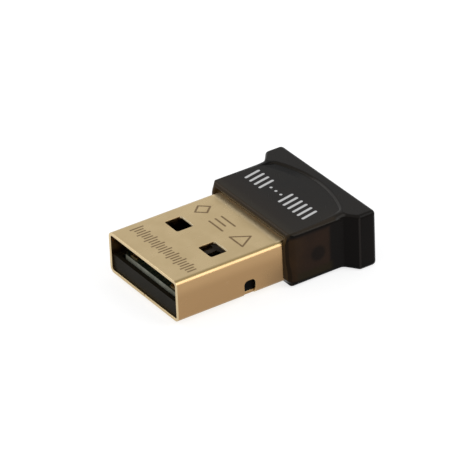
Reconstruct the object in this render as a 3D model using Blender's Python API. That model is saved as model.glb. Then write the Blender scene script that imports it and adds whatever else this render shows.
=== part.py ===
"""USB Bluetooth adapter: a folded metal plug, its board, and a moulded housing that widens into a grip.

Lengths are in metres, and angles in degrees. Sizes are given in the plug's own frame: x runs across, y runs
back from the plug's mouth, and z rises from the plug's underside. The parent empty moves that frame so that
the adapter stands on the origin, in the middle of its length.
"""
import math

import bmesh
import bpy
from mathutils import Vector

MM = 0.001

# Plug shell, folded from one sheet
SHELL_WIDTH = 12.0 * MM
SHELL_HEIGHT = 4.5 * MM
SHEET = 0.33 * MM
BEND_RADIUS = 0.6 * MM
PLUG_LENGTH = 12.05 * MM
SHELL_TAIL = 4.9 * MM
WINDOW_START = 5.16 * MM
WINDOW_LENGTH = 1.92 * MM
WINDOW_WIDTH = 2.27 * MM
WINDOW_BRIDGE = 3.6 * MM
WINDOW_CORNER = 0.2 * MM
NOTCH_START = 7.54 * MM
NOTCH_LENGTH = 1.28 * MM
NOTCH_TOP = 1.78 * MM
NOTCH_REACH = 0.5 * MM
NOTCH_CORNER = 0.45 * MM
SEAM_GAP = 0.08 * MM
SEAM_LOCK_START = 2.4 * MM
SEAM_LOCK_NECK = 1.2 * MM
SEAM_LOCK_DEPTH = 0.9 * MM
SEAM_LOCK_FLARE = 0.18 * MM
SNAP_DIAMETER = 1.7 * MM
SNAP_FROM_END = 1.35 * MM
SNAP_LEVEL = 2.4 * MM

# Contact carrier, the moulded block in the lower half of the plug
CARRIER_PLAY = 0.05 * MM
CARRIER_SET_BACK = 0.2 * MM
CARRIER_LENGTH = 10.6 * MM
CARRIER_TOP = 1.97 * MM
CARRIER_LIP = 0.42 * MM
CARRIER_BOSS = 0.2 * MM
BOSS_PLAY = 0.1 * MM
BOSS_TAPER = 0.05 * MM

# Circuit board
BOARD_PLAY = 0.04 * MM
BOARD_TOP = 2.27 * MM
BOARD_THICKNESS = 0.58 * MM
BOARD_SET_BACK = 0.9 * MM
BOARD_NECK_SET_IN = 0.82 * MM
BOARD_TAIL_SET_IN = 0.4 * MM
BOARD_TAIL_GAP = 0.35 * MM
BOARD_END_GAP = 0.25 * MM
BOARD_CHAMFER = 0.35 * MM
SOLDER = 0.02 * MM

# Contacts: the two supply strips start nearer the mouth than the two data strips
FOIL = 0.07 * MM
CONTACT_WIDTH = 1.2 * MM
CONTACT_END = 8.2 * MM
SUPPLY_START = 1.15 * MM
DATA_START = 1.75 * MM
SUPPLY_OFFSET = 3.5 * MM
DATA_OFFSET = 1.0 * MM
CONTACT_CORNER = 0.15 * MM

# Housing: a straight body round the shell's tail, and a wider grip behind it
SIDE_WALL = 0.69 * MM
BODY_LENGTH = 6.25 * MM
BODY_OVER_SHELL = 0.92 * MM
BODY_UNDER_SHELL = 0.37 * MM
BODY_CORNER = 0.85 * MM
FRONT_DRAFT = 0.35 * MM
EDGE_RADIUS = 0.42 * MM
GRIP_OVERHANG = 1.25 * MM
GRIP_LENGTH = 3.3 * MM
GRIP_RISE = 0.18 * MM
GRIP_DROP = 0.12 * MM
GRIP_CORNER = 0.5 * MM
FLARE_LENGTH = 1.756 * MM
FLARE_HOLLOW_RADIUS = 0.6 * MM
FLARE_OUTER_RADIUS = 0.5 * MM
FLARE_SINK = 0.05 * MM
LIP_ARC_DEPTH = 1.85 * MM
SHELL_PLAY = 0.06 * MM
SHELL_END_PLAY = 0.1 * MM
POCKET_CORNER = 0.22 * MM
LEAD_IN = 0.2 * MM
REAR_WALL = 0.9 * MM
BAY_PLAY = 0.3 * MM
BAY_FLOOR = 0.45 * MM
BAY_ROOF = 4.3 * MM
RIB_WIDTH = 0.8 * MM
RIB_LENGTH = 0.7 * MM
LEDGE_WIDTH = 0.9 * MM
SNAP_PLAY = 0.1 * MM
SNAP_REACH = 0.27 * MM
ROOT = 0.2 * MM

# Parts soldered on the board
RADIO_SIZE = 4.0 * MM
RADIO_HEIGHT = 0.85 * MM
RADIO_BEHIND_PLUG = 1.55 * MM
CHIP_CHAMFER = 0.08 * MM
CHIP_DOT_DIAMETER = 0.32 * MM
CHIP_DOT_FROM_EDGE = 0.4 * MM
CHIP_DOT_DEPTH = 0.04 * MM
CRYSTAL_LENGTH = 2.5 * MM
CRYSTAL_WIDTH = 2.0 * MM
CRYSTAL_HEIGHT = 0.6 * MM
CRYSTAL_BASE_HEIGHT = 0.3 * MM
CRYSTAL_CORNER = 0.12 * MM
CRYSTAL_LID_SET_IN = 0.09 * MM
CRYSTAL_LID_EDGE = 0.03 * MM
MEMORY_LENGTH = 3.0 * MM
MEMORY_WIDTH = 2.0 * MM
MEMORY_HEIGHT = 0.75 * MM
REGULATOR_LENGTH = 2.9 * MM
REGULATOR_WIDTH = 1.5 * MM
REGULATOR_HEIGHT = 1.0 * MM
REGULATOR_TAPER = 0.04 * MM
LEG_WIDTH = 0.36 * MM
LEG_PITCH = 0.95 * MM
LEG_REACH = 0.45 * MM
LEG_THICKNESS = 0.14 * MM
FILTER_LENGTH = 2.0 * MM
FILTER_WIDTH = 1.25 * MM
FILTER_HEIGHT = 0.9 * MM
FILTER_CHAMFER = 0.05 * MM
LED_LENGTH = 1.6 * MM
LED_WIDTH = 0.8 * MM
LED_HEIGHT = 0.6 * MM
LED_BASE_HEIGHT = 0.13 * MM
LED_LENS_END = 0.24 * MM
LED_LENS_SIDE = 0.03 * MM
ANTENNA_LINE = 0.3 * MM
ANTENNA_DEPTH = 1.1 * MM
ANTENNA_TURNS = 11
ANTENNA_MARGIN = 0.35 * MM
ANTENNA_SIDE_MARGIN = 1.325 * MM
SMALL_LENGTH = 1.0 * MM
SMALL_WIDTH = 0.5 * MM
SMALL_HEIGHT = 0.5 * MM
SMALL_GAP = 0.48 * MM
CAPACITORS = 4
RESISTOR_HEIGHT = 0.35 * MM
RESISTORS = 3
BEAD_LENGTH = 1.6 * MM
BEAD_WIDTH = 0.8 * MM
END_CAP = 0.24 * MM
END_CAP_STEP = 0.03 * MM
PARTS_GAP = 0.24 * MM

# How far a cutter passes what it cuts
OVERRUN = 0.4 * MM

# Facets
CORNER_STEPS = 6
SMALL_CORNER_STEPS = 3
EDGE_STEPS = 6
ARC_STEPS = 32
ROUND_STEPS = 24
DOT_STEPS = 12
SHARP_ANGLE = 32

# Places that follow from the sizes
BOARD_NECK_WIDTH = SHELL_WIDTH - 2 * (SHEET + BOARD_NECK_SET_IN)
BODY_WIDTH = SHELL_WIDTH + 2 * (SHELL_PLAY + SIDE_WALL)
GRIP_WIDTH = BODY_WIDTH + 2 * GRIP_OVERHANG
BOARD_TAIL_WIDTH = SHELL_WIDTH - 2 * BOARD_TAIL_SET_IN
BAY_WIDTH = BOARD_TAIL_WIDTH + 2 * BAY_PLAY
SHELL_END = PLUG_LENGTH + SHELL_TAIL
HOUSING_END = PLUG_LENGTH + BODY_LENGTH + GRIP_LENGTH
FLARE_START = PLUG_LENGTH + BODY_LENGTH
BODY_TOP = SHELL_HEIGHT + BODY_OVER_SHELL
BODY_BOTTOM = -BODY_UNDER_SHELL
GRIP_TOP = BODY_TOP + GRIP_RISE
GRIP_BOTTOM = BODY_BOTTOM - GRIP_DROP
POCKET_END = SHELL_END + SHELL_END_PLAY
BAY_END = HOUSING_END - REAR_WALL
BOARD_BOTTOM = BOARD_TOP - BOARD_THICKNESS
BOARD_END = BAY_END - BOARD_END_GAP
BOARD_TAIL_START = SHELL_END + BOARD_TAIL_GAP
MOUNT_LEVEL = BOARD_TOP + SOLDER
SNAP_PLACE = SHELL_END - SNAP_FROM_END
RADIO_PLACE = PLUG_LENGTH + RADIO_BEHIND_PLUG
ANTENNA_END = BOARD_END - ANTENNA_MARGIN
ANTENNA_START = ANTENNA_END - ANTENNA_DEPTH
ANTENNA_WIDTH = BOARD_TAIL_WIDTH - 2 * ANTENNA_SIDE_MARGIN - ANTENNA_LINE
FRONT_ROW = CONTACT_END + PARTS_GAP + LEG_REACH + REGULATOR_WIDTH / 2
REAR_ROW = ANTENNA_START - PARTS_GAP - CRYSTAL_WIDTH / 2

PLANES = {
    "XY": lambda u, v, w: (u, v, w),
    "XZ": lambda u, v, w: (u, w, v),
    "YZ": lambda u, v, w: (w, u, v),
}


def clear_scene():
    for obj in list(bpy.data.objects):
        bpy.data.objects.remove(obj, do_unlink=True)


def make_origin():
    """The empty that carries every piece, and stands the adapter on the origin."""
    empty = bpy.data.objects.new("adapter", None)
    empty.location = (0, -HOUSING_END / 2, -GRIP_BOTTOM)
    bpy.context.scene.collection.objects.link(empty)
    return empty


def make_material(name, colour, roughness, metallic=0.0, transmission=0.0):
    material = bpy.data.materials.new(name)
    material.use_nodes = True
    shader = material.node_tree.nodes["Principled BSDF"]
    shader.inputs["Base Color"].default_value = (*colour, 1)
    shader.inputs["Roughness"].default_value = roughness
    shader.inputs["Metallic"].default_value = metallic
    shader.inputs["Transmission Weight"].default_value = transmission
    material.diffuse_color = (*colour, 1)
    return material


def arc(centre, radius, start, end, steps):
    """Points from one angle to another, in degrees, with both ends."""
    angles = [math.radians(start + (end - start) * i / steps) for i in range(steps + 1)]
    return [(centre[0] + radius * math.cos(a), centre[1] + radius * math.sin(a)) for a in angles]


def circle(centre, radius, steps=ROUND_STEPS):
    return arc(centre, radius, 0, 360, steps)[:-1]


def rectangle(left, right, low, high, radius=0.0, steps=CORNER_STEPS):
    """A rectangle drawn anticlockwise, with round corners if it has a radius."""
    if not radius:
        return [(left, low), (right, low), (right, high), (left, high)]
    return (
        arc((right - radius, low + radius), radius, -90, 0, steps)
        + arc((right - radius, high - radius), radius, 0, 90, steps)
        + arc((left + radius, high - radius), radius, 90, 180, steps)
        + arc((left + radius, low + radius), radius, 180, 270, steps)
    )


def mitres(outline, closed=True):
    """At each point, the step to the left that moves both edges there by one unit."""
    count = len(outline)
    points = [Vector(p) for p in outline]
    steps = []
    for i, point in enumerate(points):
        before = point - points[i - 1] if closed or i else points[1] - point
        after = points[(i + 1) % count] - point if closed or i < count - 1 else before
        first = Vector((-before.y, before.x)).normalized()
        second = Vector((-after.y, after.x)).normalized()
        steps.append((first + second) / (1 + first.dot(second)))
    return steps


def inset(outline, distance):
    """An anticlockwise outline moved inwards."""
    return [(p[0] + m.x * distance, p[1] + m.y * distance) for p, m in zip(outline, mitres(outline))]


def ribbon(path, width):
    """The outline of a line of one width, with mitred corners."""
    steps = mitres(path, closed=False)
    left = [(p[0] + m.x * width / 2, p[1] + m.y * width / 2) for p, m in zip(path, steps)]
    right = [(p[0] - m.x * width / 2, p[1] - m.y * width / 2) for p, m in zip(path, steps)]
    return right + left[::-1]


def link(name, mesh, material):
    """An object of the mesh, carried by the origin empty, smooth except at its edges."""
    mesh.shade_smooth()
    mesh.set_sharp_from_angle(angle=math.radians(SHARP_ANGLE))
    if material:
        mesh.materials.append(material)
    obj = bpy.data.objects.new(name, mesh)
    obj.parent = ORIGIN
    bpy.context.scene.collection.objects.link(obj)
    return obj


def finish_mesh(name, shape, material):
    """An object of the closed shape, with its faces turned outwards."""
    if shape.calc_volume(signed=True) < 0:
        bmesh.ops.reverse_faces(shape, faces=shape.faces)
    mesh = bpy.data.meshes.new(name)
    shape.to_mesh(mesh)
    shape.free()
    return link(name, mesh, material)


def add_ring(shape, outline, level, plane):
    return [shape.verts.new(PLANES[plane](u, v, level)) for u, v in outline]


def add_wall(shape, first, second):
    count = len(first)
    for i in range(count):
        j = (i + 1) % count
        shape.faces.new((first[i], first[j], second[j], second[i]))


def loft(name, sections, material=None, plane="XY"):
    """A closed solid through outlines of equal point count, each given with its level."""
    shape = bmesh.new()
    rings = [add_ring(shape, outline, level, plane) for outline, level in sections]
    for first, second in zip(rings, rings[1:]):
        add_wall(shape, first, second)
    shape.faces.new(rings[0][::-1])
    shape.faces.new(rings[-1])
    return finish_mesh(name, shape, material)


def prism(name, outline, low, high, material=None, plane="XY"):
    return loft(name, [(outline, low), (outline, high)], material, plane)


def rounded_prism(name, outline_at, low, high, radius, material=None):
    """A prism whose lower and upper rims are rounded. outline_at gives its outline at a level."""
    rim = []
    for i in range(EDGE_STEPS + 1):
        angle = math.pi / 2 * i / EDGE_STEPS
        rim.append((radius * (1 - math.sin(angle)), radius * (1 - math.cos(angle))))
    levels = [(step, low + rise) for step, rise in rim]
    levels += [(step, high - rise) for step, rise in rim[::-1]]
    return loft(name, [(inset(outline_at(level), step), level) for step, level in levels], material)


def tube(name, outer, inner, levels, material, plane):
    """A wall between two outlines of equal point count, with an edge loop at each level."""
    shape = bmesh.new()
    rings = [add_ring(shape, outer, level, plane) for level in levels]
    rings += [add_ring(shape, inner, level, plane) for level in levels[::-1]]
    for first, second in zip(rings, rings[1:] + rings[:1]):
        add_wall(shape, first, second)
    return finish_mesh(name, shape, material)


def combine(target, helper, operation):
    """Cuts the helper from the target or joins it on, and keeps the helper out of the model."""
    helper.hide_render = True
    helper.display_type = "WIRE"
    modifier = target.modifiers.new(helper.name, "BOOLEAN")
    modifier.operation = operation
    modifier.solver = "EXACT"
    modifier.object = helper


def cut(target, *helpers):
    for helper in helpers:
        combine(target, helper, "DIFFERENCE")


def join(target, *helpers):
    for helper in helpers:
        combine(target, helper, "UNION")


def window_outlines(play=0.0):
    """The two latch windows, seen from above."""
    outlines = []
    for side in (-1, 1):
        near = side * (WINDOW_BRIDGE / 2 + play)
        far = side * (WINDOW_BRIDGE / 2 + WINDOW_WIDTH - play)
        start = WINDOW_START + play
        end = WINDOW_START + WINDOW_LENGTH - play
        left, right = min(near, far), max(near, far)
        outlines.append(rectangle(left, right, start, end, WINDOW_CORNER, SMALL_CORNER_STEPS))
    return outlines


def shell_outline(step_in):
    """The shell's section at a depth below its outer face."""
    half = SHELL_WIDTH / 2 - step_in
    radius = BEND_RADIUS - step_in
    return rectangle(-half, half, step_in, SHELL_HEIGHT - step_in, radius)


def seam_path():
    """The joint in the underside, with one dovetail lock, run past both ends of the shell."""
    lock_end = SEAM_LOCK_START + SEAM_LOCK_NECK
    return [
        (0, -OVERRUN),
        (0, SEAM_LOCK_START),
        (SEAM_LOCK_DEPTH, SEAM_LOCK_START - SEAM_LOCK_FLARE),
        (SEAM_LOCK_DEPTH, lock_end + SEAM_LOCK_FLARE),
        (0, lock_end),
        (0, SHELL_END + OVERRUN),
    ]


def notch_outline():
    """The side notch, round at its top corners and open below."""
    end = NOTCH_START + NOTCH_LENGTH
    level = NOTCH_TOP - NOTCH_CORNER
    rear = arc((end - NOTCH_CORNER, level), NOTCH_CORNER, 0, 90, CORNER_STEPS)
    front = arc((NOTCH_START + NOTCH_CORNER, level), NOTCH_CORNER, 90, 180, CORNER_STEPS)
    return [(end, -OVERRUN)] + rear + front + [(NOTCH_START, -OVERRUN)]


def make_usb_shell(material):
    levels = [0, PLUG_LENGTH, SHELL_END]
    shell = tube("usb_shell", shell_outline(0), shell_outline(SHEET), levels, material, "XZ")
    for number, outline in enumerate(window_outlines(), 1):
        cut(shell, prism(f"window_cutter_{number}", outline, -OVERRUN, SHELL_HEIGHT + OVERRUN))
    half = SHELL_WIDTH / 2
    for side, name in ((-1, "left"), (1, "right")):
        near, far = side * (half - NOTCH_REACH), side * (half + OVERRUN)
        cut(shell, prism(f"notch_cutter_{name}", notch_outline(), near, far, plane="YZ"))
    hole = circle((SNAP_PLACE, SNAP_LEVEL), SNAP_DIAMETER / 2)
    cut(shell, prism("snap_hole_cutter", hole, -half - OVERRUN, half + OVERRUN, plane="YZ"))
    cut(shell, prism("seam_cutter", ribbon(seam_path(), SEAM_GAP), -OVERRUN, SHEET + OVERRUN))
    return shell


def make_contact_carrier(material):
    floor = SHEET + CARRIER_PLAY
    half = SHELL_WIDTH / 2 - floor
    end = CARRIER_SET_BACK + CARRIER_LENGTH
    radius = BEND_RADIUS - SHEET
    section = (
        [(half, CARRIER_TOP), (-half, CARRIER_TOP)]
        + arc((-half + radius, floor + radius), radius, 180, 270, CORNER_STEPS)
        + arc((half - radius, floor + radius), radius, -90, 0, CORNER_STEPS)
    )
    carrier = prism("contact_carrier", section, CARRIER_SET_BACK, end, material, "XZ")
    seat_half = BOARD_NECK_WIDTH / 2 + BOARD_PLAY
    seat = rectangle(-seat_half, seat_half, CARRIER_SET_BACK + CARRIER_LIP, end + OVERRUN)
    cut(carrier, prism("board_seat_cutter", seat, BOARD_BOTTOM - BOARD_PLAY, BOARD_TOP))
    for number, outline in enumerate(window_outlines(BOSS_PLAY), 1):
        tip = inset(outline, BOSS_TAPER)
        sections = [(tip, floor - CARRIER_BOSS), (outline, floor), (outline, floor + ROOT)]
        join(carrier, loft(f"carrier_boss_{number}", sections))
    return carrier


def board_outline():
    """The board: a neck with clipped front corners, and a wider tail behind the shell."""
    neck, tail = BOARD_NECK_WIDTH / 2, BOARD_TAIL_WIDTH / 2
    clip = BOARD_CHAMFER
    right = [
        (neck - clip, BOARD_SET_BACK),
        (neck, BOARD_SET_BACK + clip),
        (neck, BOARD_TAIL_START),
        (tail, BOARD_TAIL_START),
        (tail, BOARD_END - clip),
        (tail - clip, BOARD_END),
    ]
    return right + [(-x, y) for x, y in right[::-1]]


def make_circuit_board(material):
    return prism("circuit_board", board_outline(), BOARD_BOTTOM, BOARD_TOP, material)


def make_contacts(material):
    strips = {
        "contact_supply": (-SUPPLY_OFFSET, SUPPLY_START),
        "contact_data_minus": (-DATA_OFFSET, DATA_START),
        "contact_data_plus": (DATA_OFFSET, DATA_START),
        "contact_ground": (SUPPLY_OFFSET, SUPPLY_START),
    }
    for name, (centre, start) in strips.items():
        left, right = centre - CONTACT_WIDTH / 2, centre + CONTACT_WIDTH / 2
        outline = rectangle(left, right, start, CONTACT_END, CONTACT_CORNER, SMALL_CORNER_STEPS)
        prism(name, outline, MOUNT_LEVEL, MOUNT_LEVEL + FOIL, material)


def body_outline(level):
    """The straight body in plan. Its front leans back towards the underside, its rear ends in the grip."""
    half = BODY_WIDTH / 2
    front = PLUG_LENGTH + FRONT_DRAFT * (BODY_TOP - level) / (BODY_TOP - BODY_BOTTOM)
    return rectangle(-half, half, front, HOUSING_END - REAR_WALL, BODY_CORNER)


def flare():
    """The right side of the grip from the body outwards: a hollow, a slope that touches it, a shoulder."""
    first = (BODY_WIDTH / 2 - FLARE_SINK + FLARE_HOLLOW_RADIUS, FLARE_START)
    second = (GRIP_WIDTH / 2 - FLARE_OUTER_RADIUS, FLARE_START + FLARE_LENGTH)
    across, along = second[0] - first[0], FLARE_LENGTH
    both = FLARE_HOLLOW_RADIUS + FLARE_OUTER_RADIUS
    slope = math.sqrt(across * across + along * along - both * both)
    turn = math.degrees(math.atan2(across, along) + math.atan2(both, slope))
    hollow = arc(first, FLARE_HOLLOW_RADIUS, 180, 180 - turn, CORNER_STEPS)
    return hollow + arc(second, FLARE_OUTER_RADIUS, -turn, 0, CORNER_STEPS)


def lip_arc():
    """The front edge of the raised grip, from left to right, bowed towards the rear."""
    half = BODY_WIDTH / 2 - FLARE_SINK
    radius = (half * half + LIP_ARC_DEPTH * LIP_ARC_DEPTH) / (2 * LIP_ARC_DEPTH)
    reach = math.degrees(math.asin(half / radius))
    centre = (0, FLARE_START + LIP_ARC_DEPTH - radius)
    return arc(centre, radius, 90 + reach, 90 - reach, ARC_STEPS)


def grip_outline():
    right = flare()
    half = GRIP_WIDTH / 2
    corner = arc((half - GRIP_CORNER, HOUSING_END - GRIP_CORNER), GRIP_CORNER, 0, 90, CORNER_STEPS)
    side = right + corner
    return side + [(-x, y) for x, y in side[::-1]] + lip_arc()[1:-1]


def pocket_outline(widen):
    half = SHELL_WIDTH / 2 + SHELL_PLAY + widen
    low, high = -SHELL_PLAY - widen, SHELL_HEIGHT + SHELL_PLAY + widen
    return rectangle(-half, half, low, high, POCKET_CORNER + widen, SMALL_CORNER_STEPS)


def cut_hollows(housing):
    """The pocket round the shell's tail, its lead-in, and the bay for the rear of the board."""
    front = PLUG_LENGTH - OVERRUN
    pocket = pocket_outline(0)
    cut(housing, prism("pocket_cutter", pocket, front, POCKET_END, plane="XZ"))
    lead_in = [(pocket_outline(LEAD_IN + OVERRUN), front), (pocket, PLUG_LENGTH + LEAD_IN)]
    cut(housing, loft("lead_in_cutter", lead_in, plane="XZ"))
    half = BAY_WIDTH / 2
    bay = rectangle(-half, half, SHELL_END - OVERRUN, BAY_END)
    cut(housing, prism("bay_cutter", bay, BAY_FLOOR, BAY_ROOF))


def add_board_holders(housing):
    """On each side of the bay, a ledge under the board and a short rib over it."""
    inner = BAY_WIDTH / 2
    rib_start = BOARD_TAIL_START + BOARD_PLAY
    for side, name in ((-1, "left"), (1, "right")):
        near, far = sorted((side * (inner - LEDGE_WIDTH), side * (inner + ROOT)))
        plan = rectangle(near, far, BOARD_TAIL_START, BAY_END + ROOT)
        join(housing, prism(f"ledge_{name}", plan, BAY_FLOOR - ROOT, BOARD_BOTTOM - BOARD_PLAY))
        near, far = sorted((side * (inner - RIB_WIDTH), side * (inner + ROOT)))
        plan = rectangle(near, far, rib_start, rib_start + RIB_LENGTH)
        join(housing, prism(f"rib_{name}", plan, BOARD_TOP + BOARD_PLAY, BAY_ROOF + ROOT))


def add_snap_bosses(housing):
    """A round boss on each side wall that drops into the shell's snap hole."""
    wall = SHELL_WIDTH / 2 + SHELL_PLAY
    radius = SNAP_DIAMETER / 2 - SNAP_PLAY
    round_edge = circle((SNAP_PLACE, SNAP_LEVEL), radius)
    tip = circle((SNAP_PLACE, SNAP_LEVEL), radius - SNAP_PLAY)
    end = SHELL_WIDTH / 2 - SNAP_REACH
    for side, name in ((-1, "left"), (1, "right")):
        sections = [
            (round_edge, side * (wall + ROOT)),
            (round_edge, side * (end + SNAP_PLAY)),
            (tip, side * end),
        ]
        join(housing, loft(f"snap_boss_{name}", sections, plane="YZ"))


def make_housing(material):
    housing = rounded_prism("housing", body_outline, BODY_BOTTOM, BODY_TOP, EDGE_RADIUS, material)
    grip = grip_outline()
    join(housing, rounded_prism("grip", lambda level: grip, GRIP_BOTTOM, GRIP_TOP, EDGE_RADIUS))
    cut_hollows(housing)
    add_board_holders(housing)
    add_snap_bosses(housing)
    return housing


def place(obj, x, y):
    """Puts a soldered part at its place on the board."""
    obj.location = (x, y, MOUNT_LEVEL)


def chip(name, length, width, height, material):
    """A moulded chip with a bevelled top and a shallow dot at its first corner."""
    base = rectangle(-length / 2, length / 2, -width / 2, width / 2)
    sections = [(base, 0), (base, height - CHIP_CHAMFER), (inset(base, CHIP_CHAMFER), height)]
    body = loft(name, sections, material)
    centre = (-length / 2 + CHIP_DOT_FROM_EDGE, width / 2 - CHIP_DOT_FROM_EDGE)
    dot = circle(centre, CHIP_DOT_DIAMETER / 2, DOT_STEPS)
    cutter = prism(name + "_dot_cutter", dot, height - CHIP_DOT_DEPTH, height + OVERRUN)
    cut(body, cutter)
    return body, cutter


def make_chips(material):
    for obj in chip("radio_chip", RADIO_SIZE, RADIO_SIZE, RADIO_HEIGHT, material):
        place(obj, 0, RADIO_PLACE)
    x = BOARD_NECK_WIDTH / 2 - MEMORY_LENGTH / 2 - PARTS_GAP
    for obj in chip("memory_chip", MEMORY_LENGTH, MEMORY_WIDTH, MEMORY_HEIGHT, material):
        place(obj, x, FRONT_ROW)


def make_crystal(material):
    """A metal can: a base with round corners and a lid set in on it."""
    side, end = CRYSTAL_LENGTH / 2, CRYSTAL_WIDTH / 2
    base = rectangle(-side, side, -end, end, CRYSTAL_CORNER, SMALL_CORNER_STEPS)
    lid = inset(base, CRYSTAL_LID_SET_IN)
    sections = [
        (base, 0),
        (base, CRYSTAL_BASE_HEIGHT),
        (lid, CRYSTAL_BASE_HEIGHT),
        (lid, CRYSTAL_HEIGHT - CRYSTAL_LID_EDGE),
        (inset(lid, CRYSTAL_LID_EDGE), CRYSTAL_HEIGHT),
    ]
    crystal = loft("crystal", sections, material)
    place(crystal, -BOARD_NECK_WIDTH / 4, REAR_ROW)


def leg_outline():
    """One bent leg from the side: out of the body, down, and along the board."""
    side = REGULATOR_WIDTH / 2
    level = REGULATOR_HEIGHT / 2
    knee = side + LEG_REACH / 2
    foot = LEG_THICKNESS / 2
    path = [(side - ROOT, level), (knee, level), (knee, foot), (side + LEG_REACH, foot)]
    return ribbon(path, LEG_THICKNESS)


def make_voltage_regulator(material):
    """A small moulded package with three legs in front and two behind."""
    half_length, half_width = REGULATOR_LENGTH / 2, REGULATOR_WIDTH / 2
    middle = rectangle(-half_length, half_length, -half_width, half_width)
    tapered = inset(middle, REGULATOR_TAPER)
    stand = LEG_THICKNESS / 2
    sections = [(tapered, stand), (middle, REGULATOR_HEIGHT / 2), (tapered, REGULATOR_HEIGHT)]
    body = loft("voltage_regulator", sections, material)
    legs = []
    for row, columns in ((-1, (-1, 0, 1)), (1, (-1, 1))):
        side = [(row * u, v) for u, v in leg_outline()]
        for column in columns:
            left = column * LEG_PITCH - LEG_WIDTH / 2
            legs.append(prism(f"leg_{len(legs)}", side, left, left + LEG_WIDTH, plane="YZ"))
    join(body, *legs)
    for obj in [body] + legs:
        place(obj, -BOARD_NECK_WIDTH / 2 + half_length + PARTS_GAP, FRONT_ROW)


def make_rf_filter(material):
    half_length, half_width = FILTER_LENGTH / 2, FILTER_WIDTH / 2
    base = rectangle(-half_length, half_length, -half_width, half_width)
    top = inset(base, FILTER_CHAMFER)
    sections = [(base, 0), (base, FILTER_HEIGHT - FILTER_CHAMFER), (top, FILTER_HEIGHT)]
    place(loft("rf_filter", sections, material), BOARD_NECK_WIDTH / 8, REAR_ROW)


def make_status_led(material):
    """A flat base with a clear block on it."""
    half_length, half_width = LED_LENGTH / 2, LED_WIDTH / 2
    base = rectangle(-half_length, half_length, -half_width, half_width)
    lens_half_length = half_length - LED_LENS_END
    lens_half_width = half_width - LED_LENS_SIDE
    lens = rectangle(-lens_half_length, lens_half_length, -lens_half_width, lens_half_width)
    sections = [
        (base, 0),
        (base, LED_BASE_HEIGHT),
        (lens, LED_BASE_HEIGHT),
        (lens, LED_HEIGHT - LED_LENS_SIDE),
        (inset(lens, LED_LENS_SIDE), LED_HEIGHT),
    ]
    place(loft("status_led", sections, material), BOARD_NECK_WIDTH / 2 - half_length, REAR_ROW)


def end_capped(name, length, width, height, material):
    """A ceramic block with a metal cap on each end, lofted along its length."""
    side = width / 2
    cap = rectangle(-side, side, 0, height)
    core = rectangle(-side + END_CAP_STEP, side - END_CAP_STEP, END_CAP_STEP, height - END_CAP_STEP)
    half, shoulder = length / 2, length / 2 - END_CAP
    sections = [
        (cap, -half),
        (cap, -shoulder),
        (core, -shoulder),
        (core, shoulder),
        (cap, shoulder),
        (cap, half),
    ]
    return loft(name, sections, material, "YZ")


def make_antenna(material):
    """A printed line that turns back and forth along the board's rear edge."""
    path = []
    near, far = ANTENNA_START + ANTENNA_LINE / 2, ANTENNA_END + ANTENNA_LINE / 2
    for turn in range(ANTENNA_TURNS + 1):
        x = ANTENNA_WIDTH * (turn / ANTENNA_TURNS - 0.5)
        ends = (near, far) if turn % 2 == 0 else (far, near)
        path += [(x, end) for end in ends]
    prism("printed_antenna", ribbon(path, ANTENNA_LINE), MOUNT_LEVEL, MOUNT_LEVEL + FOIL, material)


def add_column(kind, count, x, height, material):
    """Small end-capped parts beside the radio chip, in a column that starts at its front edge."""
    first = RADIO_PLACE - RADIO_SIZE / 2 + SMALL_WIDTH / 2
    for i in range(count):
        part = end_capped(f"{kind}_{i + 1}", SMALL_LENGTH, SMALL_WIDTH, height, material)
        place(part, x, first + i * (SMALL_WIDTH + SMALL_GAP))


def make_small_parts(capacitor_material, resistor_material, bead_material):
    column = (RADIO_SIZE / 2 + BOARD_NECK_WIDTH / 2) / 2
    add_column("capacitor", CAPACITORS, -column, SMALL_HEIGHT, capacitor_material)
    add_column("resistor", RESISTORS, column, RESISTOR_HEIGHT, resistor_material)
    bead = end_capped("ferrite_bead", BEAD_LENGTH, BEAD_WIDTH, BEAD_WIDTH, bead_material)
    place(bead, column, RADIO_PLACE + RADIO_SIZE / 2 - BEAD_WIDTH / 2)


clear_scene()
ORIGIN = make_origin()

gold_steel = make_material("gold plated steel", (0.56, 0.43, 0.24), 0.28, 1.0)
black_plastic = make_material("black plastic", (0.022, 0.021, 0.02), 0.45)
board_laminate = make_material("board laminate", (0.035, 0.075, 0.05), 0.45)
contact_gold = make_material("contact gold", (0.75, 0.55, 0.22), 0.25, 1.0)
smoky_plastic = make_material("smoky plastic", (0.03, 0.024, 0.02), 0.25, 0.0, 0.6)
chip_black = make_material("chip black", (0.015, 0.015, 0.016), 0.5)
can_metal = make_material("can metal", (0.55, 0.54, 0.52), 0.3, 1.0)
filter_ceramic = make_material("filter ceramic", (0.5, 0.48, 0.42), 0.5)
led_clear = make_material("led clear", (0.75, 0.78, 0.7), 0.2)
antenna_copper = make_material("antenna copper", (0.1, 0.2, 0.1), 0.35, 0.4)
capacitor_tan = make_material("capacitor tan", (0.36, 0.22, 0.12), 0.5)
resistor_black = make_material("resistor black", (0.03, 0.03, 0.03), 0.5)
bead_grey = make_material("bead grey", (0.08, 0.08, 0.085), 0.55)

make_usb_shell(gold_steel)
make_contact_carrier(black_plastic)
make_circuit_board(board_laminate)
make_contacts(contact_gold)
make_housing(smoky_plastic)
make_chips(chip_black)
make_voltage_regulator(chip_black)
make_crystal(can_metal)
make_rf_filter(filter_ceramic)
make_status_led(led_clear)
make_antenna(antenna_copper)
make_small_parts(capacitor_tan, resistor_black, bead_grey)
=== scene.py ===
import math

import bmesh
import bpy
from mathutils import Matrix, Vector


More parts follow.
